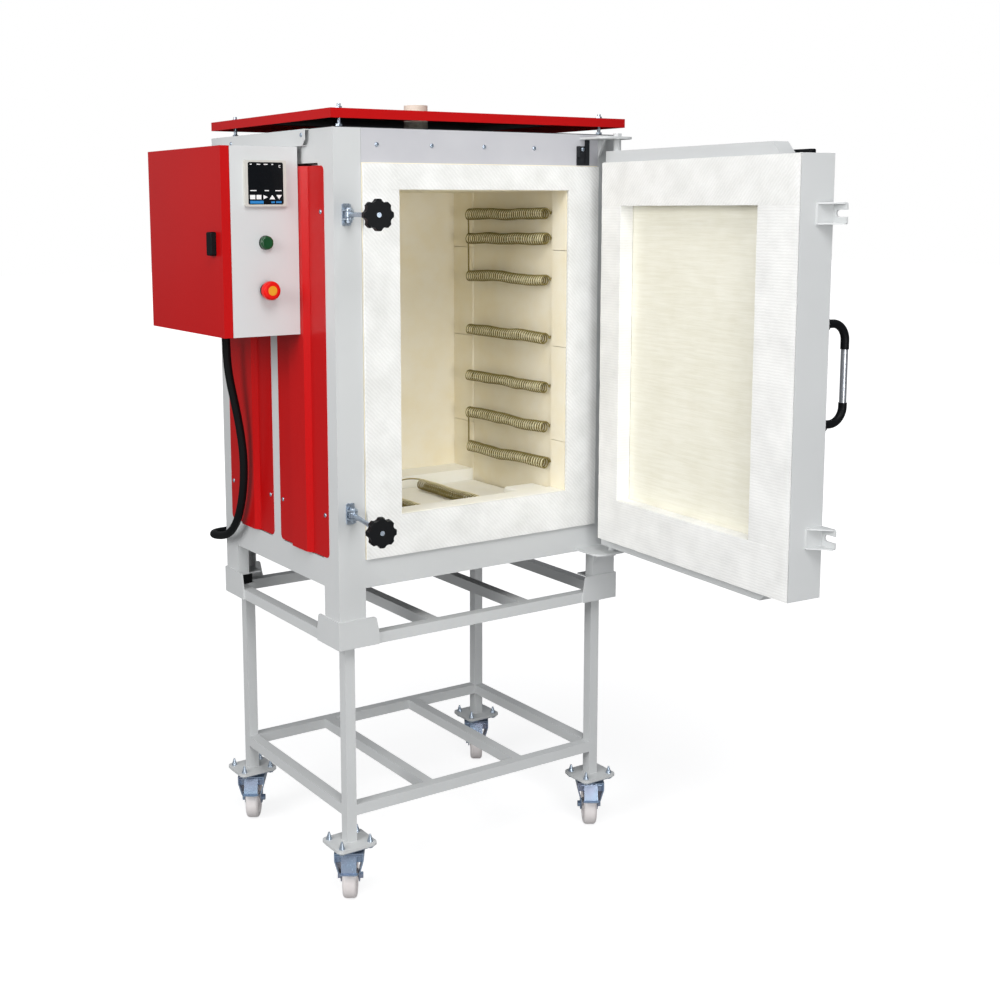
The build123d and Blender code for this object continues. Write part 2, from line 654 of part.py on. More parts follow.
def chamber():
    """Bricks, boards, fibre frame, backing and vent of the heated chamber."""
    x0, x1 = CHAMBER_X
    outer = x0 - LINING
    base = CHAMBER_FLOOR - FLOOR_BRICK
    walls = []
    left = courses((FIBRE_EDGE, x0), (0, JAMB_D), RAIL_TOP, CHAMBER_TOP)
    left += courses((outer, x0), (PILASTER_Y, BACK_WALL_Y), base, CHAMBER_TOP)
    left.append(block((outer, x0 - WALL_RECESS), (JAMB_D, PILASTER_Y), (base, CHAMBER_TOP)))
    walls += left + [mirrored_x(b) for b in left]
    back = block((outer, BODY_W - outer), (BACK_WALL_Y, BACK_WALL_Y + BACK_BOARD), (base, CHAMBER_TOP))
    probe_hole = rod((MID_X, BACK_WALL_Y - 1, PROBE_Z), (0, 1, 0), PROBE_R + 0.5, BODY_D)
    back -= probe_hole
    lintel = block((FIBRE_EDGE, BODY_W - FIBRE_EDGE), (0, JAMB_D), (CHAMBER_TOP, TOP_RAIL_Z))
    ceiling = block((outer, BODY_W - outer), (JAMB_D, BACK_WALL_Y + BACK_BOARD), (CHAMBER_TOP, TOP_RAIL_Z))
    vent_way = rod((MID_X, MID_Y, CHAMBER_TOP - 1), (0, 0, 1), VENT_R + 0.5, BODY_TOP - CHAMBER_TOP)
    ceiling -= vent_way
    walls += [back, lintel, ceiling]
    third = CHAMBER_W / 3
    floor = []
    for i in range(3):
        a = x0 + i * third + JOINT / 2
        b = x0 + (i + 1) * third - JOINT / 2
        floor.append(block((a, b), (JAMB_D + JOINT, PILASTER_Y - JOINT), (base, CHAMBER_FLOOR)))
        floor.append(block((a, b), (0, JAMB_D), (RAIL_TOP, SILL_TOP)))
    ledge = block((x0, x1), (PILASTER_Y, BACK_WALL_Y), (base, CHAMBER_FLOOR + LEDGE_H))
    stop = block((x1 - BLOCK[0], x1), (JAMB_D + JOINT, JAMB_D + JOINT + BLOCK[1]),
                 (CHAMBER_FLOOR, CHAMBER_FLOOR + BLOCK[2]))
    stop = fillet(stop.edges().filter_by(Axis.Y).group_by(Axis.Z)[-1], 7.0)
    floor += [ledge, stop]
    face = (-FIBRE_T, 0)
    frame_x = (FIBRE_EDGE, BODY_W - FIBRE_EDGE)
    fibre = [
        block(frame_x, face, (FIBRE_Z[0], SILL_TOP)),
        block(frame_x, face, (CHAMBER_TOP, FIBRE_Z[1])),
        block((frame_x[0], x0), face, (SILL_TOP, CHAMBER_TOP)),
        block((x1, frame_x[1]), face, (SILL_TOP, CHAMBER_TOP)),
    ]
    r = RAIL_DEPTH + 1.0
    low = RAIL_BOTTOM + POST_SHEET + SHEET
    side = block((r, outer), (JAMB_D, BACK_WALL_Y + BACK_BOARD), (base, TOP_RAIL_Z))
    rear_pad = block((r, BODY_W - r), (BACK_WALL_Y + BACK_BOARD, BODY_D - r),
                     (base, TOP_RAIL_Z)) - probe_hole
    under = block((r, BODY_W - r), (r, BODY_D - r), (low, base))
    over = block((r, BODY_W - r), (r, BODY_D - r), (TOP_RAIL_Z, BODY_TOP - STUD_BELOW - 2)) - vent_way
    over -= rod((MID_X, MID_Y, TOP_RAIL_Z - 1), (0, 0, 1), VENT_R + 0.5, TOP_RAIL_H + 2)
    tube = rod((MID_X, MID_Y, CHAMBER_TOP), (0, 0, 1), VENT_R, ROOF_TOP + VENT_ABOVE - CHAMBER_TOP)
    tube -= rod((MID_X, MID_Y, CHAMBER_TOP - 1), (0, 0, 1), VENT_BORE,
                ROOF_TOP + VENT_ABOVE - CHAMBER_TOP + 2)
    probe = rod((MID_X, BACK_WALL_Y - PROBE_REACH, PROBE_Z), (0, 1, 0), PROBE_R,
                BODY_D - BACK_WALL_Y + PROBE_REACH + 8)
    probe += rod((MID_X, BODY_D + 8, PROBE_Z), (0, 1, 0), PROBE_HEAD[0], PROBE_HEAD[1])
    return {
        "chamber_walls": walls,
        "chamber_floor": floor,
        "fibre_frame": fibre,
        "insulation": [side, mirrored_x(side), rear_pad, under, over],
        "vent_tube": [tube],
        "thermocouple": [probe],
    }


def biarc(start, start_way, end, end_way):
    """Two arcs that leave one point and reach the next along given directions."""
    chord = end - start
    ways = start_way + end_way
    a = 2 * (1 - start_way.dot(end_way))
    b = 2 * chord.dot(ways)
    c = -chord.dot(chord)
    reach = -c / b if abs(a) < 1e-9 else (-b + math.sqrt(b * b - 4 * a * c)) / (2 * a)
    middle = (start + start_way * reach + end - end_way * reach) * 0.5
    first = Edge.make_tangent_arc(start, start_way, middle)
    last = Edge.make_tangent_arc(end, end_way * -1, middle)
    return [first, Edge.make_tangent_arc(middle, last.tangent_at(1) * -1, end)]


def coil_wire(axis_start, axis_way, side_way, curls, length, root):
    """Path and least gap of a coil wound about an axis beside a wall."""
    up = axis_way.cross(side_way)
    rise = length / curls
    nodes = []
    for half in range(0, 2 * curls + 1):
        angle = math.pi * half
        out = up * math.cos(angle) - side_way * math.sin(angle)
        way = up * -math.sin(angle) - side_way * math.cos(angle)
        point = axis_start + axis_way * (rise * half / 2) + out * COIL_R
        nodes.append((point, (way * (2 * math.pi * COIL_R) + axis_way * rise).normalized()))
    first = nodes[0][0] - axis_way * (rise * 0.25)
    last = nodes[-1][0] + axis_way * (rise * 0.25)
    inlet = (first + side_way * (COIL_WIRE * 1.5), side_way * -1)
    outlet = (last + side_way * (COIL_WIRE * 1.5), side_way)
    edges = [Edge.make_line(first + side_way * root, inlet[0])]
    stops = [inlet] + nodes[1:-1] + [outlet]
    for (p, a), (q, b) in zip(stops, stops[1:]):
        edges += biarc(p, a, q, b)
    edges.append(Edge.make_line(outlet[0], last + side_way * root))
    return edges


def least_gap(edges, wire):
    """Smallest space between stretches of a wire that are not neighbours, on points."""
    points = [e.position_at(t / 6) for e in edges for t in range(6)]
    best = 1e9
    reach = 14
    for i, p in enumerate(points):
        for q in points[i + reach:i + 4 * reach]:
            best = min(best, (p - q).length)
    return best - wire


def coil(axis_start, axis_way, side_way, curls, length, root, label):
    """A solid heating coil; its least gap to itself is printed."""
    edges = coil_wire(Vector(*axis_start), Vector(*axis_way), Vector(*side_way), curls, length, root)
    print(label, "least gap to itself", round(least_gap(edges, COIL_WIRE), 2), "mm")
    path = Wire(edges)
    section = Plane(origin=path.position_at(0), z_dir=path.tangent_at(0)) * Circle(COIL_WIRE / 2)
    return sweep(section, path=path)


def elements():
    """Heating coils on the walls and on the floor."""
    x0, x1 = CHAMBER_X
    root = COIL_R + WALL_COIL_GAP + WALL_RECESS
    length = WALL_COIL_Y[1] - WALL_COIL_Y[0]
    right = []
    left = []
    for z in WALL_COIL_Z:
        right.append(coil((x1 + WALL_RECESS - root, WALL_COIL_Y[0], z), (0, 1, 0), (1, 0, 0),
                          WALL_CURL_COUNT, length, root,
                          "wall coil"))
        left.append(rod((x0 - WALL_RECESS + root, WALL_COIL_Y[0], z), (0, 1, 0), COIL_R, length))
    floor = []
    length = FLOOR_COIL_Y[1] - FLOOR_COIL_Y[0]
    for x in FLOOR_COIL_X:
        floor.append(coil((x, FLOOR_COIL_Y[0], CHAMBER_FLOOR + COIL_R + COIL_WIRE), (0, 1, 0), (0, 0, -1),
                          FLOOR_CURL_COUNT, length, COIL_R + COIL_WIRE, "floor coil"))
    return {"elements_right": right, "elements_left": left, "elements_floor": floor}


def door_pose(shape):
    """The open place of a piece drawn on the shut door."""
    return Pos(PIN_X, PIN_Y, 0) * Rot(0, 0, DOOR_OPEN) * Pos(-PIN_X, -PIN_Y, 0) * shape


def door_strip(x, z):
    """A strip of the door's fibre border, stepped into the shell."""
    rim = DOOR_FACE - DOOR_FIBRE_PROUD
    face = block(x, (rim, DOOR_FACE), z)
    inner_x = (max(x[0], DOOR_X[0] + SHEET), min(x[1], DOOR_X[1] - SHEET))
    inner_z = (max(z[0], DOOR_Z[0] + SHEET), min(z[1], DOOR_Z[1] - SHEET))
    return face + block(inner_x, (DOOR_FACE - DOOR_RECESS, rim), inner_z)


def door_arm(top):
    """A carrier arm across the door's top or bottom, with the bush of its pin."""
    height = ARM_TOP_H if top else ARM_LOW_H
    low, high = (DOOR_Z[1], ARM_TOP_Z) if top else (ARM_LOW_Z, DOOR_Z[0])
    end = PIN_X + ARM_END_R
    start = end - ARM_LENGTH - ARM_SLOPE
    y = (PIN_Y - ARM_W / 2, PIN_Y + ARM_W / 2)
    far, near = (high, low) if top else (low, high)
    outline = ((start, near), (start + ARM_SLOPE, far), (end, far), (end, near))
    bar = Pos(0, y[1], 0) * prism(Plane.XZ, outline, ARM_W)
    s = ARM_SHEET
    hollow_z = (low - 1, high - s) if top else (low + s, high + 1)
    bar -= block((start + ARM_SLOPE, end - s), (y[0] + s, y[1] - s), hollow_z)
    bar += rod((PIN_X, PIN_Y, low), (0, 0, 1), PIN_R + 5.0, height)
    return bar - rod((PIN_X, PIN_Y, low - 1), (0, 0, 1), PIN_R + RUN_FIT, height + 2)


def slot_bracket(z):
    """Slotted bracket on the door's free edge that a swing bolt drops into."""
    free = DOOR_X[0]
    tip = free - SLOT_REACH
    half = SLOT_PLATE_H / 2
    plate = block((tip, free), (DOOR_BACK, DOOR_BACK + SLOT_T), (z - half, z + half))
    plate = fillet(plate.edges().filter_by(Axis.Y).group_by(Axis.X)[0], 5.0)
    leg = block((free - SLOT_T, free), (DOOR_BACK, DOOR_BACK + SLOT_RIB), (z - half, z + half))
    rib = ((tip + 2, DOOR_BACK + SLOT_T), (tip + 2, DOOR_BACK + SLOT_T + 4),
           (free - SLOT_T, DOOR_BACK + SLOT_RIB),
           (free - SLOT_T, DOOR_BACK + SLOT_T))
    ribs = [Pos(0, 0, low) * prism(Plane.XY, rib, SLOT_RIB_T)
            for low in (z - half, z + half - SLOT_RIB_T)]
    body = plate + leg + ribs[0] + ribs[1]
    round_x = tip + SLOT_LENGTH - SLOT_W / 2
    body -= block((tip - 1, round_x), (DOOR_BACK - 1, DOOR_BACK + SLOT_T + 1),
                  (z - SLOT_W / 2, z + SLOT_W / 2))
    return body - rod((round_x, DOOR_BACK - 1, z), (0, 1, 0), SLOT_W / 2, SLOT_T + 2)


def handle_arm(z, grip_z):
    """A curved black arm of the door handle."""
    x = DOOR_X[0] + HANDLE_EDGE
    out = DOOR_BACK - HANDLE_REACH
    path = FilletPolyline((x, DOOR_BACK, z), (x, out, z), (x, out, grip_z), radius=HANDLE_BEND)
    section = Plane(origin=(x, DOOR_BACK, z), z_dir=(0, -1, 0)) * Circle(HANDLE_R)
    flange = rod((x, DOOR_BACK, z), (0, -1, 0), *HANDLE_FLANGE)
    return sweep(section, path=path) + flange


def door():
    """Shell, fibre, board, arms, brackets and handle of the door."""
    x, z = DOOR_X, DOOR_Z
    rim = DOOR_FACE - DOOR_FIBRE_PROUD
    shell = block(x, (DOOR_BACK, rim), z)
    inner_x = (x[0] + SHEET, x[1] - SHEET)
    inner_z = (z[0] + SHEET, z[1] - SHEET)
    shell -= block(inner_x, (DOOR_BACK + SHEET, rim + 1), inner_z)
    shell = fillet(shell.edges().filter_by(Axis.Y).group_by(Axis.X)[0]
                   + shell.edges().filter_by(Axis.Y).group_by(Axis.X)[-1],
                   SHEET / 2)
    core = block(inner_x, (DOOR_BACK + SHEET, DOOR_FACE - DOOR_RECESS), inner_z)
    low = z[0] + DOOR_BORDER_LOW
    high = z[1] - DOOR_BORDER_TOP
    fibre = [
        door_strip(x, (z[0], low)),
        door_strip(x, (high, z[1])),
        door_strip((x[0], x[0] + DOOR_BORDER_FREE), (low, high)),
        door_strip((x[1] - DOOR_BORDER_HINGE, x[1]), (low, high)),
    ]
    handle_x = x[0] + HANDLE_EDGE
    out = DOOR_BACK - HANDLE_REACH
    arms = [handle_arm(HANDLE_Z[0], HANDLE_GRIP[0]), handle_arm(HANDLE_Z[1], HANDLE_GRIP[1])]
    grip = rod((handle_x, out, HANDLE_GRIP[0]), (0, 0, 1), GRIP_R, HANDLE_GRIP[1] - HANDLE_GRIP[0])
    strip = block((x[0] + STRIP_EDGE, x[0] + STRIP_EDGE + STRIP[0]),
                  (DOOR_BACK + 3, DOOR_BACK + 3 + STRIP[1]),
                  (z[1], z[1] + STRIP[2]))
    strip = fillet(strip.edges().filter_by(Axis.Z) + strip.edges().group_by(Axis.Z)[-1], 3.0)
    nodes = {
        "door_shell": [shell],
        "door_core": [core],
        "door_fibre": fibre,
        "door_arms": [door_arm(True), door_arm(False)],
        "slot_brackets": [slot_bracket(h) for h in SLOT_Z],
        "handle_arms": arms,
        "handle_grip": [grip],
        "door_switch_strip": [strip],
    }
    return {name: [door_pose(s) for s in solids] for name, solids in nodes.items()}


def hinge_bracket(plate_z, web_up):
    """Plate and web on the right post that hold one hinge pin."""
    w, d, t = HINGE_PLATE
    right = PIN_X + HINGE_RIGHT
    plate = block((right - w, right), (-d, 0), (plate_z, plate_z + t))
    plate = fillet(plate.edges().filter_by(Axis.Z).group_by(Axis.Y)[0], d * 0.3)
    post_x = BODY_W - POST
    web_z = plate_z + t if web_up else plate_z
    reach = HINGE_WEB_H if web_up else -HINGE_WEB_H
    outline = ((-d * 0.25, web_z), (0, web_z), (0, web_z + reach))
    web = Pos(post_x + 1, 0, 0) * prism(Plane.YZ, outline, HINGE_WEB_T)
    return (plate + web) - rod((PIN_X, PIN_Y, plate_z - 1), (0, 0, 1), PIN_R + RUN_FIT, t + 2)


def hinges():
    """Fixed brackets and pins that carry the door."""
    t = HINGE_PLATE[2]
    top = hinge_bracket(HINGE_PLATE_TOP_Z, False)
    low = hinge_bracket(HINGE_PLATE_LOW_Z - t, False)
    deep = 4.0
    top_pin = rod((PIN_X, PIN_Y, DOOR_Z[1] + deep), (0, 0, 1), PIN_R,
                  HINGE_PLATE_TOP_Z + t + 2 - DOOR_Z[1] - deep)
    top_pin += nut((PIN_X, PIN_Y, HINGE_PLATE_TOP_Z + t), (0, 0, 1), PIN_R * 1.7, 8.0)
    top_pin += rod((PIN_X, PIN_Y, ARM_TOP_Z + TURN_GAP), (0, 0, 1), WASHER_R,
                   HINGE_PLATE_TOP_Z - ARM_TOP_Z - TURN_GAP)
    low_pin = rod((PIN_X, PIN_Y, HINGE_PLATE_LOW_Z - t - 2), (0, 0, 1), PIN_R,
                  DOOR_Z[0] - deep - HINGE_PLATE_LOW_Z + t + 2)
    low_pin += nut((PIN_X, PIN_Y, HINGE_PLATE_LOW_Z - t - 8.0), (0, 0, 1), PIN_R * 1.7, 8.0)
    low_pin += rod((PIN_X, PIN_Y, HINGE_PLATE_LOW_Z), (0, 0, 1), WASHER_R,
                   ARM_LOW_Z - TURN_GAP - HINGE_PLATE_LOW_Z)
    return {"hinge_brackets": [top, low, top_pin, low_pin]}


def swing_pose(shape):
    """The rest place of a swing bolt drawn pointing straight out."""
    return Pos(SWING_X, SWING_Y, 0) * Rot(0, 0, SWING_REST) * Pos(-SWING_X, -SWING_Y, 0) * shape


def star_knob(z):
    """A moulded star knob on the end of a swing bolt."""
    back = SWING_Y - KNOB_AT
    knob = rod((SWING_X, back - KNOB_H * 0.35, z), (0, -1, 0), KNOB_R, KNOB_H * 0.65)
    knob = fillet(knob.edges().group_by(Axis.Y)[0] + knob.edges().group_by(Axis.Y)[-1], 3.5)
    for i in range(KNOB_POINT_COUNT):
        angle = 2 * math.pi * (i + 0.5) / KNOB_POINT_COUNT
        reach = KNOB_R + KNOB_NOTCH_R * 0.45
        place = (SWING_X + reach * math.cos(angle), back + 1, z + reach * math.sin(angle))
        knob -= rod(place, (0, -1, 0), KNOB_NOTCH_R, KNOB_H + 2)
    knob += rod((SWING_X, back, z), (0, -1, 0), KNOB_HUB_R, KNOB_H * 0.5)
    return knob - rod((SWING_X, back + 1, z), (0, -1, 0), ROD_R + RUN_FIT, KNOB_H + 2)


def swing_bolts():
    """Eye bolts, knobs and the lugs that they turn in."""
    nodes = {"swing_lugs": []}
    for name, z in zip(("lower", "upper"), SLOT_Z):
        eye = rod((SWING_X, SWING_Y, z - EYE_H / 2), (0, 0, 1), EYE_R, EYE_H)
        eye = fillet(eye.edges().filter_by(GeomType.CIRCLE), 2.0)
        eye += rod((SWING_X, SWING_Y, z), (0, -1, 0), ROD_R, ROD_LENGTH)
        eye -= rod((SWING_X, SWING_Y, z - EYE_H), (0, 0, 1), SWING_PIN_R + RUN_FIT, 2 * EYE_H)
        nodes["swing_bolt_" + name] = [swing_pose(eye)]
        nodes["star_knob_" + name] = [swing_pose(star_knob(z))]
        w, h, t = LUG_PLATE
        plate = block((SWING_X - w / 2, SWING_X + w / 2), (-t, 0), (z - h / 2, z + h / 2))
        plate = fillet(plate.edges().filter_by(Axis.Y), 4.0)
        lugs = plate
        for low in (z - EYE_H / 2 - TURN_GAP - LUG[1], z + EYE_H / 2 + TURN_GAP):
            ear = block((SWING_X - LUG[0] / 2, SWING_X + LUG[0] / 2), (SWING_Y, -t), (low, low + LUG[1]))
            ear += rod((SWING_X, SWING_Y, low), (0, 0, 1), LUG[0] / 2, LUG[1])
            lugs = lugs + ear
        lugs -= rod((SWING_X, SWING_Y, z - h), (0, 0, 1), SWING_PIN_R + RUN_FIT, 2 * h)
        span = EYE_H / 2 + TURN_GAP + LUG[1]
        pin = rod((SWING_X, SWING_Y, z - span - 2), (0, 0, 1), SWING_PIN_R, 2 * span + 3)
        dome = Pos(SWING_X, SWING_Y, z + span + 2.0) * Cylinder(SWING_PIN_R + 3, 4.0)
        pin += fillet(dome.edges().group_by(Axis.Z)[-1], 3.0)
        pin += nut((SWING_X, SWING_Y, z - span - 5.5), (0, 0, 1), SWING_PIN_R + 3, 5.5)
        nodes["swing_lugs"] += [lugs, pin]
    return nodes


def gland(point, way, height, bore_back):
    """A cable gland: a hexagon, a dome and the thread behind the sheet."""
    body = nut(point, way, GLAND_R, height * 0.45)
    direction = Vector(*way)
    start = Vector(*point) + direction * (height * 0.45)
    body += rod(tuple(start), way, GLAND_R * 0.84, height * 0.55)
    back = Vector(*point) - direction * bore_back
    body += rod(tuple(back), way, FITTING_R - 0.2, bore_back + 1)
    return body


def control_box():
    """Case, lid, latch, rails and the fittings of the control box."""
    x, y, z = CASE_X, CASE_Y, CASE_Z
    s = SHEET
    case = block(x, y, z) - block((x[0] - 1, x[1] - s), (y[0] + s, y[1] - s), (z[0] + s, z[1] - s))
    fit = FITTING_R
    half = CONTROLLER_BODY[0] / 2 + 0.5
    case -= block((PANEL_LINE_X - half, PANEL_LINE_X + half), (y[0] - 1, y[0] + s + 1),
                  (CONTROLLER_Z - half, CONTROLLER_Z + half))
    for level in (LAMP_Z, STOP_Z):
        case -= rod((PANEL_LINE_X, y[0] - 1, level), (0, 1, 0), fit, s + 2)
    case -= rod((CONDUIT_TOP[0], CONDUIT_TOP[1], z[0] - 1), (0, 0, 1), fit, s + 2)
    pin_x = LID_X
    spans = (z[0] + 60.0, z[1] - 60.0 - BARREL_H)
    for low in spans:
        case += rod((pin_x, CASE_PIN_Y, low + BARREL_H / 2 + TURN_GAP), (0, 0, 1), BARREL_R,
                    BARREL_H / 2 - TURN_GAP)
        case += block((pin_x + 1, pin_x + 14), (y[1] - 0.5, CASE_PIN_Y + 1),
                      (low + BARREL_H / 2 + TURN_GAP, low + BARREL_H))
    lid = block((LID_X - CASE_LID, LID_X), y, z)
    lid -= block((LID_X - CASE_LID + s, LID_X + 1), (y[0] + s, y[1] - s), (z[0] + s, z[1] - s))
    lid -= rod((LID_X - CASE_LID - 1, LATCH_Y, LATCH_Z), (1, 0, 0), LATCH_SPINDLE_R + RUN_FIT, s + 2)
    for low in spans:
        lid += rod((pin_x, CASE_PIN_Y, low), (0, 0, 1), BARREL_R, BARREL_H / 2)
        lid += block((pin_x - 12, pin_x), (y[1] - 0.5, CASE_PIN_Y - 1), (low, low + BARREL_H / 2))
    face = LID_X - CASE_LID
    grip = block((face - LATCH[0], face - TURN_GAP), (LATCH_Y - LATCH[1] / 2, LATCH_Y + LATCH[1] / 2),
                 (LATCH_Z - LATCH[2] / 2, LATCH_Z + LATCH[2] / 2))
    grip = fillet(grip.edges().filter_by(Axis.X), 4.0)
    grip = fillet(grip.edges().group_by(Axis.X)[0], 3.0)
    latch = grip + rod((face - 1, LATCH_Y, LATCH_Z), (1, 0, 0), LATCH_SPINDLE_R, s + 6)
    cam_x = (face + s + TURN_GAP, face + s + TURN_GAP + LATCH_CAM[0])
    latch += block(cam_x, (LATCH_Y - LATCH_CAM[1] / 2, LATCH_Y + LATCH_CAM[1] / 2),
                   (LATCH_Z - LATCH_CAM[1] / 2, LATCH_Z + LATCH_CAM[2]))
    top_rail = block((-RAIL_T, 0), CASE_RAIL_Y, (BODY_TOP - CASE_RAIL_H, BODY_TOP))
    top_rail -= block((-RAIL_T + 2, 1), (CASE_RAIL_Y[0] - 1, CASE_RAIL_Y[1] + 1),
                      (BODY_TOP - CASE_RAIL_H + 2, BODY_TOP - 2))
    cut = ((CASE_RAIL_Y[0] - 1, BODY_TOP - CASE_RAIL_H - 1),
           (CASE_RAIL_Y[0] - 1, BODY_TOP - CASE_RAIL_H + CASE_RAIL_CUT),
           (CASE_RAIL_Y[0] + CASE_RAIL_CUT, BODY_TOP - CASE_RAIL_H - 1))
    top_rail -= Pos(-RAIL_T - 1, 0, 0) * prism(Plane.YZ, cut, RAIL_T + 2)
    hook = block((-RAIL_T, -2), (y[0] + 30, y[0] + 60), (z[1], BODY_TOP - CASE_RAIL_H))
    low_rail = block((-RAIL_T, -PANEL_SHEET), LOW_RAIL_Y, (LOW_RAIL_Z, LOW_RAIL_Z + CASE_RAIL_H))
    bezel = block((PANEL_LINE_X - BEZEL / 2, PANEL_LINE_X + BEZEL / 2), (y[0] - BEZEL_T, y[0]),
                  (CONTROLLER_Z - BEZEL / 2, CONTROLLER_Z + BEZEL / 2))
    bezel = fillet(bezel.edges().filter_by(Axis.Y), 3.0)
    window = 41.0
    bezel -= block((PANEL_LINE_X - window, PANEL_LINE_X + window),
                   (y[0] - BEZEL_T - 1, y[0] - BEZEL_T + 0.8),
                   (CONTROLLER_Z - window - 3, CONTROLLER_Z + window + 3))
    b = CONTROLLER_BODY[0] / 2
    bezel += block((PANEL_LINE_X - b, PANEL_LINE_X + b), (y[0] - 1, y[0] + CONTROLLER_BODY[1]),
                   (CONTROLLER_Z - b, CONTROLLER_Z + b))
    lamp = rod((PANEL_LINE_X, y[0], LAMP_Z), (0, -1, 0), LAMP_R, LAMP_OUT)
    lamp = fillet(lamp.edges().group_by(Axis.Y)[0], 4.0)
    lamp += rod((PANEL_LINE_X, y[0] - 1, LAMP_Z), (0, 1, 0), fit - 0.2, FITTING_BACK)
    collar = rod((PANEL_LINE_X, y[0], STOP_Z), (0, -1, 0), STOP_COLLAR_R, STOP_COLLAR_H)
    collar += rod((PANEL_LINE_X, y[0] - 1, STOP_Z), (0, 1, 0), fit - 0.2, FITTING_BACK)
    neck_back = FITTING_BACK - 6.0
    collar -= rod((PANEL_LINE_X, y[0] - STOP_COLLAR_H - 1, STOP_Z), (0, 1, 0), STOP_NECK_R + 0.3,
                  STOP_COLLAR_H + neck_back)
    head_y = y[0] - STOP_COLLAR_H - STOP_TRAVEL - 2.0
    button = rod((PANEL_LINE_X, head_y, STOP_Z), (0, -1, 0), STOP_HEAD_R, STOP_HEAD_H)
    button = fillet(button.edges().group_by(Axis.Y)[0], 6.0)
    button += rod((PANEL_LINE_X, head_y - 1, STOP_Z), (0, 1, 0), STOP_NECK_R - 0.4,
                  neck_back + STOP_COLLAR_H - 4)
    back_x = x[1] - s
    gear = []
    for out, across, up in GEAR:
        gear.append(block((back_x - out[1] * CASE_W, back_x - out[0] * CASE_W),
                          [y[0] + a * CASE_D for a in across],
                          [z[0] + u * CASE_H for u in up]))
    return {
        "control_case": [case],
        "control_lid": [lid],
        "lid_latch": [latch],
        "case_rails": [top_rail, hook, low_rail],
        "controller": [bezel],
        "pilot_lamp": [lamp],
        "stop_collar": [collar],
        "stop_button": [button],
        "switchgear": gear,
    }


def conduit_radii(points):
    """Bend radius at each inner point: 0.45 of the shorter run over the tangent of half the turn."""
    radii = []
    for a, b, c in zip(points, points[1:], points[2:]):
        first = Vector(*b) - Vector(*a)
        second = Vector(*c) - Vector(*b)
        turn = math.radians(first.get_angle(second))
        radii.append(0.45 * min(first.length, second.length) / math.tan(turn / 2))
    return radii


def wiring():
    """Glands and the conduit between the control box and the rear cover."""
    radii = conduit_radii(CONDUIT)
    print("conduit radii", [round(r) for r in radii])
    path = FilletPolyline(*CONDUIT, radius=radii)
    section = Plane(origin=CONDUIT[0], z_dir=(0, 0, -1)) * Circle(CONDUIT_D / 2)
    tube = sweep(section, path=path)
    full = math.pi * CONDUIT_D ** 2 / 4 * path.length
    print("conduit length", round(path.length, 1), "volume", round(tube.volume), "section times length",
          round(full))
    glands = [
        gland((CONDUIT_TOP[0], CONDUIT_TOP[1], CASE_Z[0]), (0, 0, -1), GLAND_H, 12.0),
        gland((REAR_COVER_EDGE, CONDUIT[-1][1], CONDUIT[-1][2]), (-1, 0, 0), REAR_GLAND_H, 12.0),
    ]
    return {"cable_glands": glands, "conduit": [tube]}


def build():
    """All nodes by name, each a list of solids, in the building frame."""
    nodes = {}
    for part in (stand, castors, frame, skins, chamber, elements, door, hinges, swing_bolts, control_box,
                 wiring):
        nodes.update(part())
    return nodes


def floor_middle(nodes):
    """Middle of the box round all pieces except the conduit, on the floor."""
    boxes = [s.bounding_box() for name, solids in nodes.items() if name != "conduit" for s in solids]
    x = (min(b.min.X for b in boxes) + max(b.max.X for b in boxes)) / 2
    y = (min(b.min.Y for b in boxes) + max(b.max.Y for b in boxes)) / 2
    return x, y


NODES = build()
ORIGIN = floor_middle(NODES)
print("origin from the body's corner", round(ORIGIN[0], 3), round(ORIGIN[1], 3), "nodes", len(NODES))
os.makedirs("parts", exist_ok=True)
for node, solids in NODES.items():
    placed = [Pos(-ORIGIN[0], -ORIGIN[1], 0) * s for s in solids]
    flat = [one for s in placed for one in s.solids()]
    export_step(Compound(flat), f"parts/{node}.step")
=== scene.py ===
"""Electric chamber kiln on a wheeled stand: looks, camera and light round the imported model."""
import logging
import math
from collections.abc import Callable
from dataclasses import dataclass, replace
from enum import Enum
from functools import cached_property

import bmesh
import bpy
from mathutils import Matrix, Vector, noise


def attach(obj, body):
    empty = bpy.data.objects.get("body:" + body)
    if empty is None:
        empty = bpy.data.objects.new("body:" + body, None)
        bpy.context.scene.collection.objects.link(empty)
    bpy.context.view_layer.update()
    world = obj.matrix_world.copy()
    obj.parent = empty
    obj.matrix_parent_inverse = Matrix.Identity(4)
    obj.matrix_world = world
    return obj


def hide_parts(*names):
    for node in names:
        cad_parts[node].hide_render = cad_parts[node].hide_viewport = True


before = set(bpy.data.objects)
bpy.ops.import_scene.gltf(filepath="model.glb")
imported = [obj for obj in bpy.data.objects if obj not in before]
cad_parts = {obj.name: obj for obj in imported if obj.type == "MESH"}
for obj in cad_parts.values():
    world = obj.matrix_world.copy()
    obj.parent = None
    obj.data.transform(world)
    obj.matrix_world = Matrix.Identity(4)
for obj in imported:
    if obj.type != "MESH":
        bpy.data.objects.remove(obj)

log = logging.getLogger("kiln")

# Millimetres in a metre. All sizes below are in millimetres unless a comment says otherwise.
MM = 1000
# The body's front left corner on the floor, from the model's origin.
ORIGIN = (287.75, -50.854)
# The door's pin, its angle as drawn in degrees, and the shut door's sides, ends and inner face.
PIN = (710.0, -58.0)
DOOR_OPEN = 86.0
DOOR_X = (65.4, 702.4)
DOOR_Z = (771.0, 1646.0)
DOOR_FACE = -9.2
# The chamber's side walls, the control box's front and the upright line through its fittings.
CHAMBER_X = (156.5, 609.5)
CASE_FRONT = 136.0
PANEL_LINE_X = -90.75
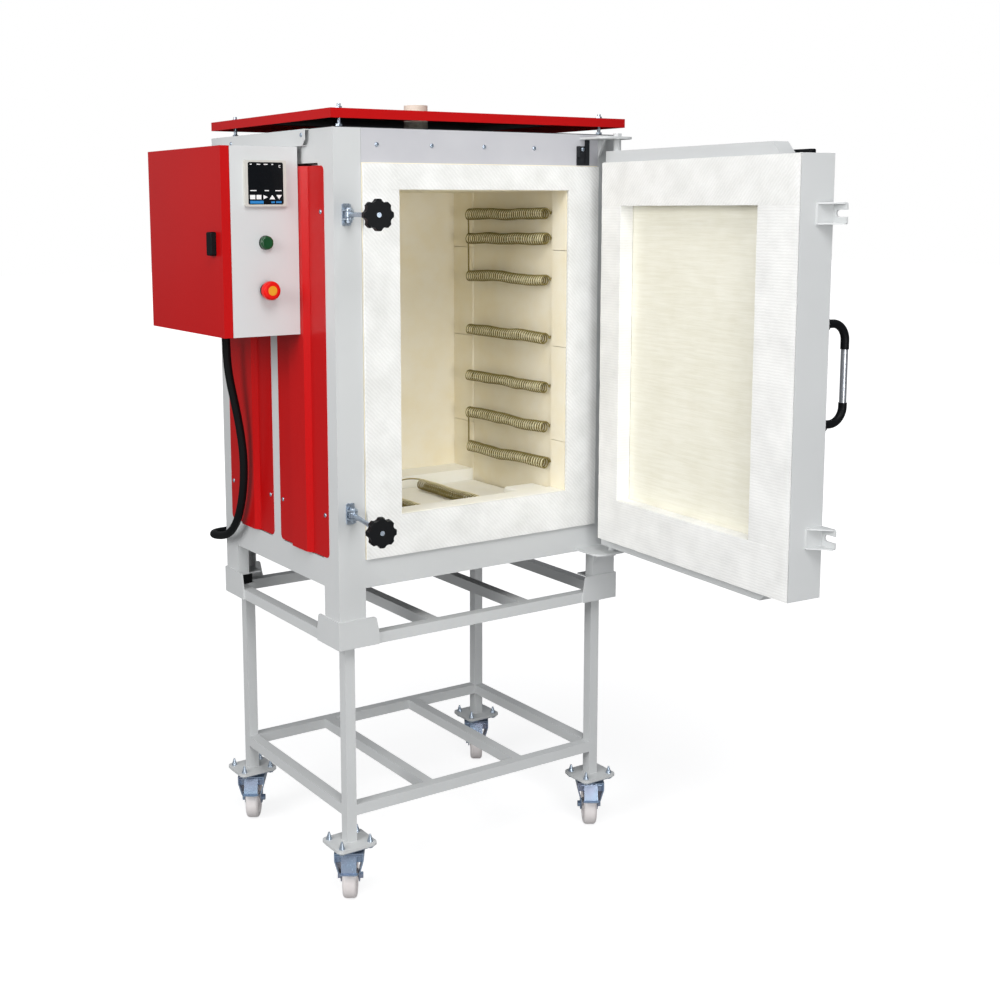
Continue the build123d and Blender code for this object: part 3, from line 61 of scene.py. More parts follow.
# Scale of Blender's bands that makes one row a grain wide, for level and for slanting rows.
LEVEL_BANDS = 0.314
SLANT_BANDS = 0.444
# How much of a felt's height is loose fibre and not its rows.
LOOSE_SHARE = 0.55
# Spans of noise over which a finish goes from its base colour to its shade, in patches and in hollows.
PATCH_SPAN = (0.35, 0.7)
HOLLOW_SPAN = (0.35, 0.65)
# Slope of a wound wire's skin towards the chamber, from pale to fully dark: the span of the painted shade on
# its flanks.
FLANK_SPAN = (0.9, 0.45)
# How far roughness goes below and above a finish's own, and its least.
ROUGH_SPREAD = (-0.05, 0.07)
LEAST_ROUGH = 0.03
COAT_ROUGH = 0.08
# Wave length and share of the two waves in the skin of soft pieces.
LONG_WAVE = (34, 0.6)
SHORT_WAVE = (11, 0.4)
# Faces of the roof whose normal is lower than this face down.
FACES_DOWN = -0.5


def at(x: float, y: float, z: float) -> Vector:
    """Turn a place on the body, in millimetres, into metres from the model's origin."""
    return Vector(((x - ORIGIN[0]) / MM, (y - ORIGIN[1]) / MM, z / MM))


def on_door(x: float, y: float, z: float) -> Vector:
    """Turn a place on the shut door, in millimetres, into its place on the open door."""
    turn = math.radians(DOOR_OPEN)
    dx, dy = x - PIN[0], y - PIN[1]
    return at(PIN[0] + dx * math.cos(turn) - dy * math.sin(turn),
              PIN[1] + dx * math.sin(turn) + dy * math.cos(turn), z)


def colour(code: str) -> tuple[float, float, float, float]:
    """Turn an sRGB hex code into a linear colour."""
    values = [int(code[i:i + 2], 16) / 255 for i in (0, 2, 4)]
    linear = [v / 12.92 if v <= 0.04045 else ((v + 0.055) / 1.055) ** 2.4 for v in values]
    return (*linear, 1.0)


def add(tree: bpy.types.NodeTree, kind: str, inputs: dict | None = None, **settings) -> bpy.types.Node:
    """Add a node to a tree.

    Args:
        tree: the node tree.
        kind: the node's type name.
        inputs: values or output sockets by input name or number.
        settings: properties of the node.

    Returns:
        The new node.
    """
    node = tree.nodes.new(kind)
    for key, value in settings.items():
        setattr(node, key, value)
    for key, value in (inputs or {}).items():
        socket = node.inputs[key]
        if isinstance(value, bpy.types.NodeSocket):
            tree.links.new(value, socket)
        else:
            socket.default_value = value
    return node


class Texture(Enum):
    """What the surface of a finish is made of."""

    PEEL = "fine orange peel of a sprayed coat"
    GRAIN = "open pores and grit"
    BRUSH = "fine lines along the height"
    SPANGLE = "crystals of a zinc coat"
    FELT = "needled fibre with slanting rows of stitches"
    ROWS = "needled fibre with level rows of stitches"
    STREAK = "fibre board with lines across"


@dataclass(frozen=True)
class Finish:
    """A finish with its colours and the size of its texture.

    Attributes:
        name: what the real finish is.
        base: main colour, as an sRGB hex code.
        shade: second colour.
        texture: what the surface is made of.
        grain_mm: size of the texture.
        rough: roughness.
        metallic: share of metal.
        bump_mm: depth of the texture.
        coat: weight of a clear coat.
        patch_mm: size of the patches of shade.
        figure: how much the shade follows the texture and not the patches.
        shine: strength of the reflection.
        turned: axis, and the places along it in metres where a wound wire is pale and where it is dark: its
            painted highlight and its painted shade.
    """

    name: str
    base: str
    shade: str
    texture: Texture
    grain_mm: float
    rough: float
    metallic: float = 0.0
    bump_mm: float = 0.05
    coat: float = 0.0
    patch_mm: float = 60.0
    figure: float = 0.0
    shine: float = 0.5
    turned: tuple = ()

    def pattern(self, tree: bpy.types.NodeTree, place: bpy.types.NodeSocket) -> bpy.types.NodeSocket:
        """Give the height pattern of the texture, from 0 to 1."""
        scale = MM / self.grain_mm
        if self.texture is Texture.SPANGLE:
            return add(tree, "ShaderNodeTexVoronoi", {"Vector": place, "Scale": scale}).outputs["Color"]
        if self.texture is Texture.GRAIN:
            return add(tree, "ShaderNodeTexNoise", {
                "Vector": place, "Scale": scale, "Detail": 6.0, "Roughness": 0.7}).outputs["Fac"]
        if self.texture is Texture.BRUSH:
            long = add(tree, "ShaderNodeMapping", {"Vector": place, "Scale": (1.0, 1.0, 0.04)})
            return add(tree, "ShaderNodeTexNoise", {"Vector": long.outputs[0], "Scale": scale}).outputs["Fac"]
        if self.texture is Texture.STREAK:
            wide = add(tree, "ShaderNodeMapping", {"Vector": place, "Scale": (0.06, 0.06, 1.0)})
            return add(tree, "ShaderNodeTexNoise", {
                "Vector": wide.outputs[0], "Scale": scale, "Detail": 4.0, "Roughness": 0.65}).outputs["Fac"]
        if self.texture in (Texture.FELT, Texture.ROWS):
            level = self.texture is Texture.ROWS
            rows = add(tree, "ShaderNodeTexWave", {
                "Vector": place, "Scale": (LEVEL_BANDS if level else SLANT_BANDS) * scale, "Distortion": 2.5,
                "Detail": 3.0, "Detail Scale": 2.0}, bands_direction="Z" if level else "DIAGONAL")
            loose = add(tree, "ShaderNodeTexNoise", {"Vector": place, "Scale": scale * 1.6, "Detail": 6.0})
            both = add(tree, "ShaderNodeMix", {
                0: LOOSE_SHARE, 2: rows.outputs["Fac"], 3: loose.outputs["Fac"]})
            return both.outputs[0]
        return add(tree, "ShaderNodeTexNoise", {
            "Vector": place, "Scale": scale, "Detail": 1.0}).outputs["Fac"]

    def shading(self, tree: bpy.types.NodeTree, place: bpy.types.NodeSocket,
                height: bpy.types.NodeSocket) -> bpy.types.NodeSocket:
        """Give how much of the shade colour shows, from 0 to 1."""
        # A wound wire is painted: shade on the coil's side towards the wall and on flanks turned from the
        # chamber, a highlight where it faces the chamber.
        if self.turned:
            axis, pale, dark = self.turned
            sign = math.copysign(1.0, pale - dark)
            apart = add(tree, "ShaderNodeSeparateXYZ", {0: place})
            away = add(tree, "ShaderNodeMapRange", {
                "Value": apart.outputs[axis], "From Min": pale, "From Max": dark})
            normal = add(tree, "ShaderNodeTexCoord").outputs["Normal"]
            facing = add(tree, "ShaderNodeSeparateXYZ", {0: normal})
            flank = add(tree, "ShaderNodeMapRange", {
                "Value": facing.outputs[axis], "From Min": sign * FLANK_SPAN[0],
                "From Max": sign * FLANK_SPAN[1]})
            return add(tree, "ShaderNodeMath", {0: away.outputs[0], 1: flank.outputs[0]},
                       operation="MAXIMUM").outputs[0]
        patch = add(tree, "ShaderNodeTexNoise", {
            "Vector": place, "Scale": MM / self.patch_mm, "Detail": 3.0})
        ramp = add(tree, "ShaderNodeMapRange", {
            "Value": patch.outputs["Fac"], "From Min": PATCH_SPAN[0], "From Max": PATCH_SPAN[1]})
        low = add(tree, "ShaderNodeMapRange", {
            "Value": height, "From Min": HOLLOW_SPAN[0], "From Max": HOLLOW_SPAN[1], "To Min": 1.0,
            "To Max": 0.0})
        return add(tree, "ShaderNodeMix", {0: self.figure, 2: ramp.outputs[0], 3: low.outputs[0]}).outputs[0]

    def material(self) -> bpy.types.Material:
        """Give the material, made once and then shared."""
        found = bpy.data.materials.get(self.name)
        if found is not None:
            return found
        made = bpy.data.materials.new(self.name)
        made.use_nodes = True
        tree = made.node_tree
        shader = tree.nodes["Principled BSDF"]
        place = add(tree, "ShaderNodeTexCoord").outputs["Object"]
        height = self.pattern(tree, place)
        mixed = add(tree, "ShaderNodeMix", {0: self.shading(tree, place, height)}, data_type="RGBA")
        for socket in mixed.inputs:
            if socket.type == "RGBA" and socket.name in ("A", "B"):
                socket.default_value = colour(self.base if socket.name == "A" else self.shade)
        outcome = next(s for s in mixed.outputs if s.type == "RGBA")
        tree.links.new(outcome, shader.inputs["Base Color"])
        rough = add(tree, "ShaderNodeMapRange", {
            "Value": height, "To Min": max(LEAST_ROUGH, self.rough + ROUGH_SPREAD[0]),
            "To Max": min(1.0, self.rough + ROUGH_SPREAD[1])})
        tree.links.new(rough.outputs[0], shader.inputs["Roughness"])
        bump = add(tree, "ShaderNodeBump", {
            "Height": height, "Distance": self.bump_mm / MM, "Strength": 1.0})
        tree.links.new(bump.outputs[0], shader.inputs["Normal"])
        shader.inputs["Metallic"].default_value = self.metallic
        shader.inputs["Coat Weight"].default_value = self.coat
        shader.inputs["Coat Roughness"].default_value = COAT_ROUGH
        shader.inputs["Specular IOR Level"].default_value = self.shine
        return made


# Powder-coated steel: an even pale grey with a soft sheen and a slight orange peel.
GREY = Finish("powder-coated steel, light grey", "D1D3D3", "CED0D0", Texture.PEEL, 1.4, 0.42, bump_mm=0.012,
              patch_mm=220.0, shine=0.35)
# Gloss enamel on sheet: a deep clear red with a quiet gloss.
RED = Finish("gloss enamel, red", "BD0A0C", "B9080A", Texture.PEEL, 2.4, 0.3, bump_mm=0.008, coat=0.03,
             patch_mm=220.0, shine=0.2)
# Galvanised sheet: dull grey metal with a faint crystal figure.
SHEET = Finish("galvanised steel sheet", "CFCFD3", "C8C8CD", Texture.SPANGLE, 7.0, 0.42, 0.1, 0.003,
               patch_mm=150.0)
# Near-black and dull: the casing sheets, and the roof's faces that point down.
DARK = Finish("black sheet", "202226", "27292D", Texture.PEEL, 1.5, 0.6, shine=0.2)
# Insulating fire brick: warm cream, full of small pores.
BRICK = Finish("insulating fire brick, pressed", "FCF6E4", "F8EED2", Texture.GRAIN, 2.2, 0.93, bump_mm=0.35,
               figure=0.35, shine=0.1)
# The floor's bricks: the same brick, paler and less yellow, painted light for the floor lit from above.
PAINTED_LIGHT_FLOOR_BRICK = Finish("insulating fire brick, new", "FFFEF8", "FCFAEE", Texture.GRAIN, 2.2, 0.93, bump_mm=0.35,
                     figure=0.35, shine=0.1)
# Ceramic fibre blanket: bright white felt, needled in slanting rows; the greyer shade in the hollows between
# its rows is painted shade.
BLANKET = Finish("ceramic fibre blanket, slanting rows", "F6F6F4", "E4E4E1", Texture.FELT, 7.0, 0.96,
                 bump_mm=0.7, figure=0.35, shine=0.05)
# The same felt, laid with its rows level, and the same painted shade in its hollows.
LEVEL = Finish("ceramic fibre blanket, level rows", "F6F6F4", "E6E6E4", Texture.ROWS, 6.0, 0.96, bump_mm=0.35,
               figure=0.3, shine=0.05)
# Vacuum-formed fibre board: ivory, with faint lines across from its mould.
BOARD = Finish("ceramic fibre board, formed", "F3F1E4", "E8E5D4", Texture.STREAK, 5.0, 0.93, bump_mm=0.5,
               figure=0.6, shine=0.05)
# Resistance wire after firing: khaki oxide. Its pale cream where it faces the chamber is a painted highlight,
# and its darker flanks and side towards the wall are painted shade, to tell the windings apart.
WIRE = Finish("resistance wire, oxidised", "FAF2CE", "857843", Texture.GRAIN, 1.0, 0.4, 0.3, 0.03)
# Blue zinc plate: bright metal with a cold tint and soft clouds.
ZINC = Finish("blue zinc plated steel", "B9C4D0", "A3B1C1", Texture.PEEL, 3.0, 0.28, 0.85, 0.01,
              patch_mm=14.0)
# Blue passivated zinc of the castors: bright metal with cold, faintly violet clouds.
PASSIVE = Finish("passivated zinc plated steel", "A6BFD8", "ACB2C8", Texture.PEEL, 3.0, 0.24, 0.75, 0.006,
                 patch_mm=60.0)
# Turned aluminium bar: pale metal with fine lines.
BAR = Finish("satin aluminium", "C9CCD1", "BFC3C9", Texture.BRUSH, 0.6, 0.30, 0.85, 0.006)
# Cast nylon wheel: milky white with a dull shine.
NYLON = Finish("cast nylon, natural", "F2EDEC", "E6DEDC", Texture.PEEL, 1.2, 0.42, bump_mm=0.01)
# Moulded polyamide: near black with a fine spark-eroded grain.
MOULDED = Finish("moulded polyamide, black", "06080B", "090B0E", Texture.GRAIN, 0.9, 0.46, bump_mm=0.02,
                 shine=0.15)
# Moulded ABS: warm pale grey, the controller's frame.
PALE = Finish("moulded ABS, pale grey", "CBCAC3", "C7C6BF", Texture.PEEL, 1.2, 0.45, bump_mm=0.01, shine=0.3)
# Rubber: black and dull.
RUBBER = Finish("moulded rubber, black", "06080A", "090B0D", Texture.GRAIN, 1.2, 0.6, bump_mm=0.02,
                shine=0.15)
# Polycarbonate window: glossy black.
WINDOW = Finish("polycarbonate window, black", "05080C", "070A0F", Texture.PEEL, 4.0, 0.22, bump_mm=0.001,
                shine=0.2)
# Green lens: clear deep green plastic.
GREEN = Finish("green polycarbonate lens", "044A20", "033C19", Texture.PEEL, 3.0, 0.2, bump_mm=0.002,
               coat=0.2)
# Red thermoplastic button: smooth signal red.
SIGNAL = Finish("moulded thermoplastic, signal red", "E01008", "D40E06", Texture.PEEL, 2.0, 0.35,
                bump_mm=0.004, shine=0.2)
# Yellow disc: signal yellow plastic.
YELLOW = Finish("moulded thermoplastic, signal yellow", "E39A10", "D8900D", Texture.PEEL, 2.0, 0.4,
                bump_mm=0.004)
# Ceramic tube: off-white and matt.
CERAMIC = Finish("fired ceramic tube", "E6E1D3", "DDD7C6", Texture.GRAIN, 1.4, 0.72, bump_mm=0.05)
# White print on the controller's film.
PRINT = Finish("printed film, white", "F0F2F2", "EAECEC", Texture.PEEL, 2.0, 0.5)
# Blue print on the controller's film.
BLUE = Finish("printed film, blue", "1C7FC4", "1976B8", Texture.PEEL, 2.0, 0.4)
# Grey modules: moulded plastic.
MODULE = Finish("moulded polycarbonate, grey", "8B8E90", "808385", Texture.GRAIN, 1.2, 0.5, bump_mm=0.02)

NODE_FINISH = {
    "stand_frame": GREY, "corner_cups": GREY, "rubber_feet": RUBBER, "foot_plates": GREY,
    "castor_plates": ZINC, "corner_posts": GREY, "frame_rails": GREY, "side_panels": RED,
    "front_panel": SHEET, "casing_sheets": DARK, "panel_screws": ZINC, "roof_plate": RED, "roof_studs": ZINC,
    "rear_cover": GREY, "chamber_walls": BRICK, "chamber_floor": PAINTED_LIGHT_FLOOR_BRICK, "fibre_frame": BLANKET,
    "insulation": BLANKET, "vent_tube": CERAMIC, "thermocouple": CERAMIC, "elements_right": WIRE,
    "elements_left": WIRE, "elements_floor": WIRE, "hinge_brackets": GREY, "swing_lugs": ZINC,
    "control_case": GREY, "case_rails": GREY, "controller": PALE, "pilot_lamp": GREEN, "stop_collar": MOULDED,
    "switchgear": MODULE, "cable_glands": MOULDED, "conduit": RUBBER, "door_shell": GREY, "door_core": BOARD,
    "door_fibre": BLANKET, "door_arms": GREY, "slot_brackets": GREY, "handle_arms": MOULDED,
    "handle_grip": BAR, "door_switch_strip": MOULDED, "swing_bolt_upper": ZINC, "swing_bolt_lower": ZINC,
    "star_knob_upper": MOULDED, "star_knob_lower": MOULDED, "control_lid": RED, "lid_latch": MOULDED,
    "stop_button": SIGNAL,
}
CASTOR_FINISH = {"castor_fork": PASSIVE, "castor_wheel": NYLON, "castor_pedal": PASSIVE}


def link(name: str, mesh: bpy.types.Mesh, finish: Finish | None, body: str,
         smooth: float = 30.0) -> bpy.types.Object:
    """Put a finished mesh in the scene on its body.

    Args:
        name: the piece's name.
        mesh: its mesh, in place.
        finish: its finish, or None where the mesh has its materials.
        body: the body that it rides on.
        smooth: faces that meet at less than this many degrees shade as one.

    Returns:
        The new object.
    """
    made = bpy.data.objects.new(name, mesh)
    bpy.context.scene.collection.objects.link(made)
    if finish is not None:
        mesh.materials.clear()
        mesh.materials.append(finish.material())
    mesh.shade_smooth()
    mesh.set_sharp_from_angle(angle=math.radians(smooth))
    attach(made, body)
    log.info("%s: %d faces on %s", name, len(mesh.polygons), body)
    return made


def slab(mesh: bmesh.types.BMesh, low: tuple, high: tuple, place: Callable[[float, float, float], Vector],
         step: float, round_mm: float, rough_mm: float, seed: float) -> None:
    """Add a soft slab with rounded edges and an uneven skin.

    Args:
        mesh: the mesh that it is added to.
        low: lowest corner, in millimetres.
        high: highest corner.
        place: function from millimetres to the model's metres.
        step: spacing of the skin's points.
        round_mm: radius of the edges.
        rough_mm: how deep the skin's hollows go.
        seed: shift of the pattern, so that no two slabs match.
    """
    counts = [max(2, int(round((high[i] - low[i]) / step))) for i in range(3)]
    points: dict[tuple, bmesh.types.BMVert] = {}

    def vertex(index: tuple) -> bmesh.types.BMVert:
        """Give the skin's point at a step of the grid."""
        if index in points:
            return points[index]
        flat = [low[i] + (high[i] - low[i]) * index[i] / counts[i] for i in range(3)]
        reach = [min(round_mm, (high[i] - low[i]) / 2) for i in range(3)]
        inner = [min(max(flat[i], low[i] + reach[i]), high[i] - reach[i]) for i in range(3)]
        out = Vector([flat[i] - inner[i] for i in range(3)])
        way = out.normalized()
        radius = min(reach[i] for i in range(3) if abs(way[i]) > 1e-6)
        wave = noise.noise(Vector(flat) / LONG_WAVE[0] + Vector((seed, 0, 0))) * LONG_WAVE[1]
        wave += noise.noise(Vector(flat) / SHORT_WAVE[0] + Vector((0, seed, 0))) * SHORT_WAVE[1]
        spot = Vector(inner) + way * (radius - rough_mm * (0.5 + 0.5 * wave))
        points[index] = mesh.verts.new(place(*spot))
        return points[index]

    for axis in range(3):
        a, b = (axis + 1) % 3, (axis + 2) % 3
        for side in (0, counts[axis]):
            for i in range(counts[a]):
                for j in range(counts[b]):
                    corners = []
                    for di, dj in ((0, 0), (1, 0), (1, 1), (0, 1)):
                        index = [0, 0, 0]
                        index[axis], index[a], index[b] = side, i + di, j + dj
                        corners.append(vertex(tuple(index)))
                    mesh.faces.new(corners if side else corners[::-1])


def round_line(name: str, points: list[Vector], radius: float, roundness: int,
               steps: int) -> bpy.types.Object:
    """Put a round line through the scene, smooth along control points.

    Args:
        name: the line's name.
        points: its control points, in metres.
        radius: its radius, in metres.
        roundness: how finely it is rounded.
        steps: how finely it is bent.

    Returns:
        The new curve object.
    """
    curve = bpy.data.curves.new(name, "CURVE")
    curve.dimensions = "3D"
    curve.bevel_depth = radius
    curve.bevel_resolution = roundness
    curve.resolution_u = steps
    curve.use_fill_caps = True
    line = curve.splines.new("NURBS")
    line.points.add(len(points) - 1)
    for spot, point in zip(line.points, points):
        spot.co = (*point, 1.0)
    line.order_u = 3
    line.use_endpoint_u = True
    made = bpy.data.objects.new(name, curve)
    bpy.context.scene.collection.objects.link(made)
    return made


def tube(points: list[Vector], radius: float) -> bpy.types.Mesh:
    """Give the mesh of a round wire along a smooth line through control points, in metres."""
    held = round_line("wire", points, radius, 2, 12)
    mesh = bpy.data.meshes.new_from_object(held.evaluated_get(bpy.context.evaluated_depsgraph_get()))
    bpy.data.objects.remove(held)
    return mesh


def settled(mesh: bmesh.types.BMesh, name: str) -> bpy.types.Mesh:
    """Turn a working mesh into a finished one."""
    done = bpy.data.meshes.new(name)
    mesh.to_mesh(done)
    mesh.free()
    return done


def joined(meshes: list[bpy.types.Mesh]) -> bpy.types.Mesh:
    """Give one mesh made of several."""
    whole = bmesh.new()
    for mesh in meshes:
        whole.from_mesh(mesh)
    return settled(whole, "joined")


def new_tree(name: str, sockets: dict[str, str]) -> tuple[bpy.types.NodeTree, dict[str, str]]:
    """Start a geometry tree with named inputs.

    Args:
        name: the tree's name.
        sockets: socket types by input name.

    Returns:
        The tree, and the identifier of each input.
    """
    tree = bpy.data.node_groups.new(name, "GeometryNodeTree")
    tree.interface.new_socket("Geometry", in_out="INPUT", socket_type="NodeSocketGeometry")
    tree.interface.new_socket("Geometry", in_out="OUTPUT", socket_type="NodeSocketGeometry")
    keys = {}
    for label, kind in sockets.items():
        keys[label] = tree.interface.new_socket(label, in_out="INPUT", socket_type=kind).identifier
    return tree, keys


def run_tree(name: str, tree: bpy.types.NodeTree, keys: dict[str, str], points: list[Vector],
             normals: list[Vector] | None, values: dict[str, object]) -> bpy.types.Mesh:
    """Run a geometry tree on a set of points.

    Args:
        name: name of the result.
        tree: the tree.
        keys: identifiers of its inputs.
        points: places of the instances, in metres.
        normals: a direction for each point, kept as the attribute "way", or None.
        values: the inputs' values by name.

    Returns:
        The plain mesh that the tree makes.
    """
    seed = bpy.data.meshes.new(name + "_points")
    seed.from_pydata([tuple(p) for p in points], [], [])
    if normals is not None:
        layer = seed.attributes.new("way", "FLOAT_VECTOR", "POINT")
        for item, way in zip(layer.data, normals):
            item.vector = way
    held = bpy.data.objects.new(name, seed)
    bpy.context.scene.collection.objects.link(held)
    modifier = held.modifiers.new("nodes", "NODES")
    modifier.node_group = tree
    for label, value in values.items():
        modifier[keys[label]] = value
    view = bpy.context.evaluated_depsgraph_get()
    mesh = bpy.data.meshes.new_from_object(held.evaluated_get(view))
    held.modifiers.remove(modifier)
    bpy.data.objects.remove(held)
    return mesh


@dataclass
class HeatingCoils:
    """Wound wire coils on the walls and the floor of the chamber.

    Attributes:
        radius: radius of a coil's line.
        wire: the wire's thickness.
        drift: how often a coil's line wavers, in waves to the metre.
        wall_waver: how far a wall coil wavers, in metres.
        floor_waver: how far a floor coil wavers, in metres.
        wall_gap: a wall coil's line to its wall.
        shade_span: shares of the radius, out from the line, where the wire is pale and where it is dark: from
            its painted highlight to its painted shade.
        root: how far an end wire goes into the wall, from the coil's line.
        tuck: how far an end wire leans in from the coil's end.
        bend: how far behind the line the right wall's end wires bend.
        lean: share of tuck that an end wire has leaned in at its bend.
        rise: how far an end wire rises to its bend and to its root.
        bow: how far a link stands out at its middle and at its upper end.
        links: coils whose far ends a wire joins, as pairs of numbers in wall_z.
        tail: control points of the floor wire's tail, from the right coil's far end.
    """

    radius: float = 12.2
    wire: float = 3.9
    drift: float = 9.0
    wall_waver: float = 0.013
    floor_waver: float = 0.006
    wall_turns: int = 37
    floor_turns: int = 30
    wall_z: tuple = (939.5, 1026.0, 1122.0, 1238.5, 1375.5, 1470.5, 1530.0)
    wall_y: tuple = (55.5, 379.0)
    floor_x: tuple = (262.0, 423.0)
    floor_y: tuple = (68.0, 342.0)
    floor_z: float = 860.6
    wall_gap: float = 15.8
    shade_span: tuple = (0.6, 0.1)
    root: float = 19.0
    tuck: float = 6.0
    bend: float = 15.0
    lean: float = 0.4
    rise: tuple = (5.0, 4.0)
    bow: tuple = (2.0, 1.0)
    links: tuple = ((0, 1), (4, 5), (5, 6))
    tail: tuple = ((0, 0, 12), (-20, 12, 16), (-58, 16, 12), (-92, 4, 2))

    @cached_property
    def tree(self) -> tuple[bpy.types.NodeTree, dict[str, str]]:
        """The tree that winds a coil from each point along +Y, and the names of its inputs."""
        tree, keys = new_tree("wound coil", {
            "Radius": "NodeSocketFloat", "Wire": "NodeSocketFloat", "Turns": "NodeSocketFloat",
            "Length": "NodeSocketFloat", "Waver": "NodeSocketFloat", "Material": "NodeSocketMaterial"})
        given = add(tree, "NodeGroupInput").outputs
        spiral = add(tree, "GeometryNodeCurveSpiral", {
            "Resolution": 18, "Rotations": given["Turns"], "Start Radius": given["Radius"],
            "End Radius": given["Radius"], "Height": given["Length"]})
        placed = add(tree, "GeometryNodeInstanceOnPoints", {
            "Points": given["Geometry"], "Instance": spiral.outputs[0], "Rotation": (-math.pi / 2, 0.0, 0.0)})
        real = add(tree, "GeometryNodeRealizeInstances", {0: placed.outputs[0]})
        spot = add(tree, "GeometryNodeInputPosition")
        drift = add(tree, "ShaderNodeTexNoise", {
            "Vector": spot.outputs[0], "Scale": self.drift, "Detail": 1.0})
        centred = add(tree, "ShaderNodeVectorMath", {0: drift.outputs["Color"], 1: (0.5, 0.5, 0.5)},
                      operation="SUBTRACT")
        shift = add(tree, "ShaderNodeVectorMath", {0: centred.outputs[0], "Scale": given["Waver"]},
                    operation="SCALE")
        moved = add(tree, "GeometryNodeSetPosition", {0: real.outputs[0], "Offset": shift.outputs[0]})
        half = add(tree, "ShaderNodeMath", {0: given["Wire"], 1: 0.5}, operation="MULTIPLY")
        ring = add(tree, "GeometryNodeCurvePrimitiveCircle", {"Resolution": 6, "Radius": half.outputs[0]})
        swept = add(tree, "GeometryNodeCurveToMesh", {
            0: moved.outputs[0], "Profile Curve": ring.outputs[0], "Fill Caps": True})
        done = add(tree, "GeometryNodeSetMaterial", {0: swept.outputs[0], "Material": given["Material"]})
        add(tree, "NodeGroupOutput", {0: done.outputs[0]})
        return tree, keys

    def finish(self, side: str, axis: int, middle: float, sign: int) -> Finish:
        """Give the wire's finish, with painted shade on its flanks and where it faces away from the chamber,
        and a painted highlight where it faces the chamber.

        Args:
            side: where the coils are.
            axis: number of the axis that points into the chamber.
            middle: place of the coils' lines on it, in metres.
            sign: the way along it that leads into the chamber.
        """
        pale, dark = (middle + sign * share * self.radius / MM for share in self.shade_span)
        return replace(WIRE, name=f"{WIRE.name}, {side}", turned=(axis, pale, dark))

    def wind(self, name: str, starts: list[Vector], finish: Finish, turns: int, span: tuple,
             waver: float) -> bpy.types.Mesh:
        """Wind a coil from each start, as long as the span."""
        tree, keys = self.tree
        return run_tree(name, tree, keys, starts, None, {
            "Radius": self.radius / MM, "Wire": self.wire / MM, "Waver": waver, "Material": finish.material(),
            "Turns": float(turns), "Length": (span[1] - span[0]) / MM})

    def wall(self, side: str, wall: float, sign: int) -> None:
        """Wind the coils of one wall, with their end wires and links."""
        x = wall + sign * self.wall_gap
        near, far = self.wall_y
        thin = self.wire / 2 / MM
        finish = self.finish(side, 0, at(x, 0, 0).x, sign)
        pieces = [self.wind("coils_" + side, [at(x, near, z) for z in self.wall_z], finish, self.wall_turns,
                            self.wall_y, self.wall_waver)]
        for z in self.wall_z:
            for y, inward in ((near, self.tuck), (far, -self.tuck)):
                bend = x if sign > 0 else x + self.bend
                pieces.append(tube([at(x + self.radius, y, z),
                                    at(bend, y + inward * self.lean, z + self.rise[0]),
                                    at(x - sign * self.root, y + inward, z + self.rise[1])], thin))
        for low, high in self.links:
            z0, z1 = self.wall_z[low], self.wall_z[high]
            middle = at(x + self.bow[0], far + self.bow[0], (z0 * 2 + z1) / 3)
            pieces.append(tube([at(x, far, z0), middle, at(x, far + self.bow[1], z1)], thin))
        whole = link("heating_coils_" + side, joined(pieces), finish, "kiln", 60)
        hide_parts("elements_" + side)

    def floor(self) -> None:
        """Wind the coils of the floor, with the tail of the right one."""
        finish = self.finish("floor", 2, at(0, 0, self.floor_z).z, 1)
        wound = self.wind("coils_floor", [at(x, self.floor_y[0], self.floor_z) for x in self.floor_x], finish,
                          self.floor_turns, self.floor_y, self.floor_waver)
        tail = tube([at(self.floor_x[1] + x, self.floor_y[1] + y, self.floor_z + z) for x, y, z in self.tail],
                    self.wire / 2 / MM)
        whole = link("heating_coils_floor", joined([wound, tail]), finish, "kiln", 60)
        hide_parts("elements_floor")

    def build(self) -> None:
        """Wind all the coils."""
        self.wall("right", CHAMBER_X[1], -1)
        self.wall("left", CHAMBER_X[0], 1)
        self.floor()


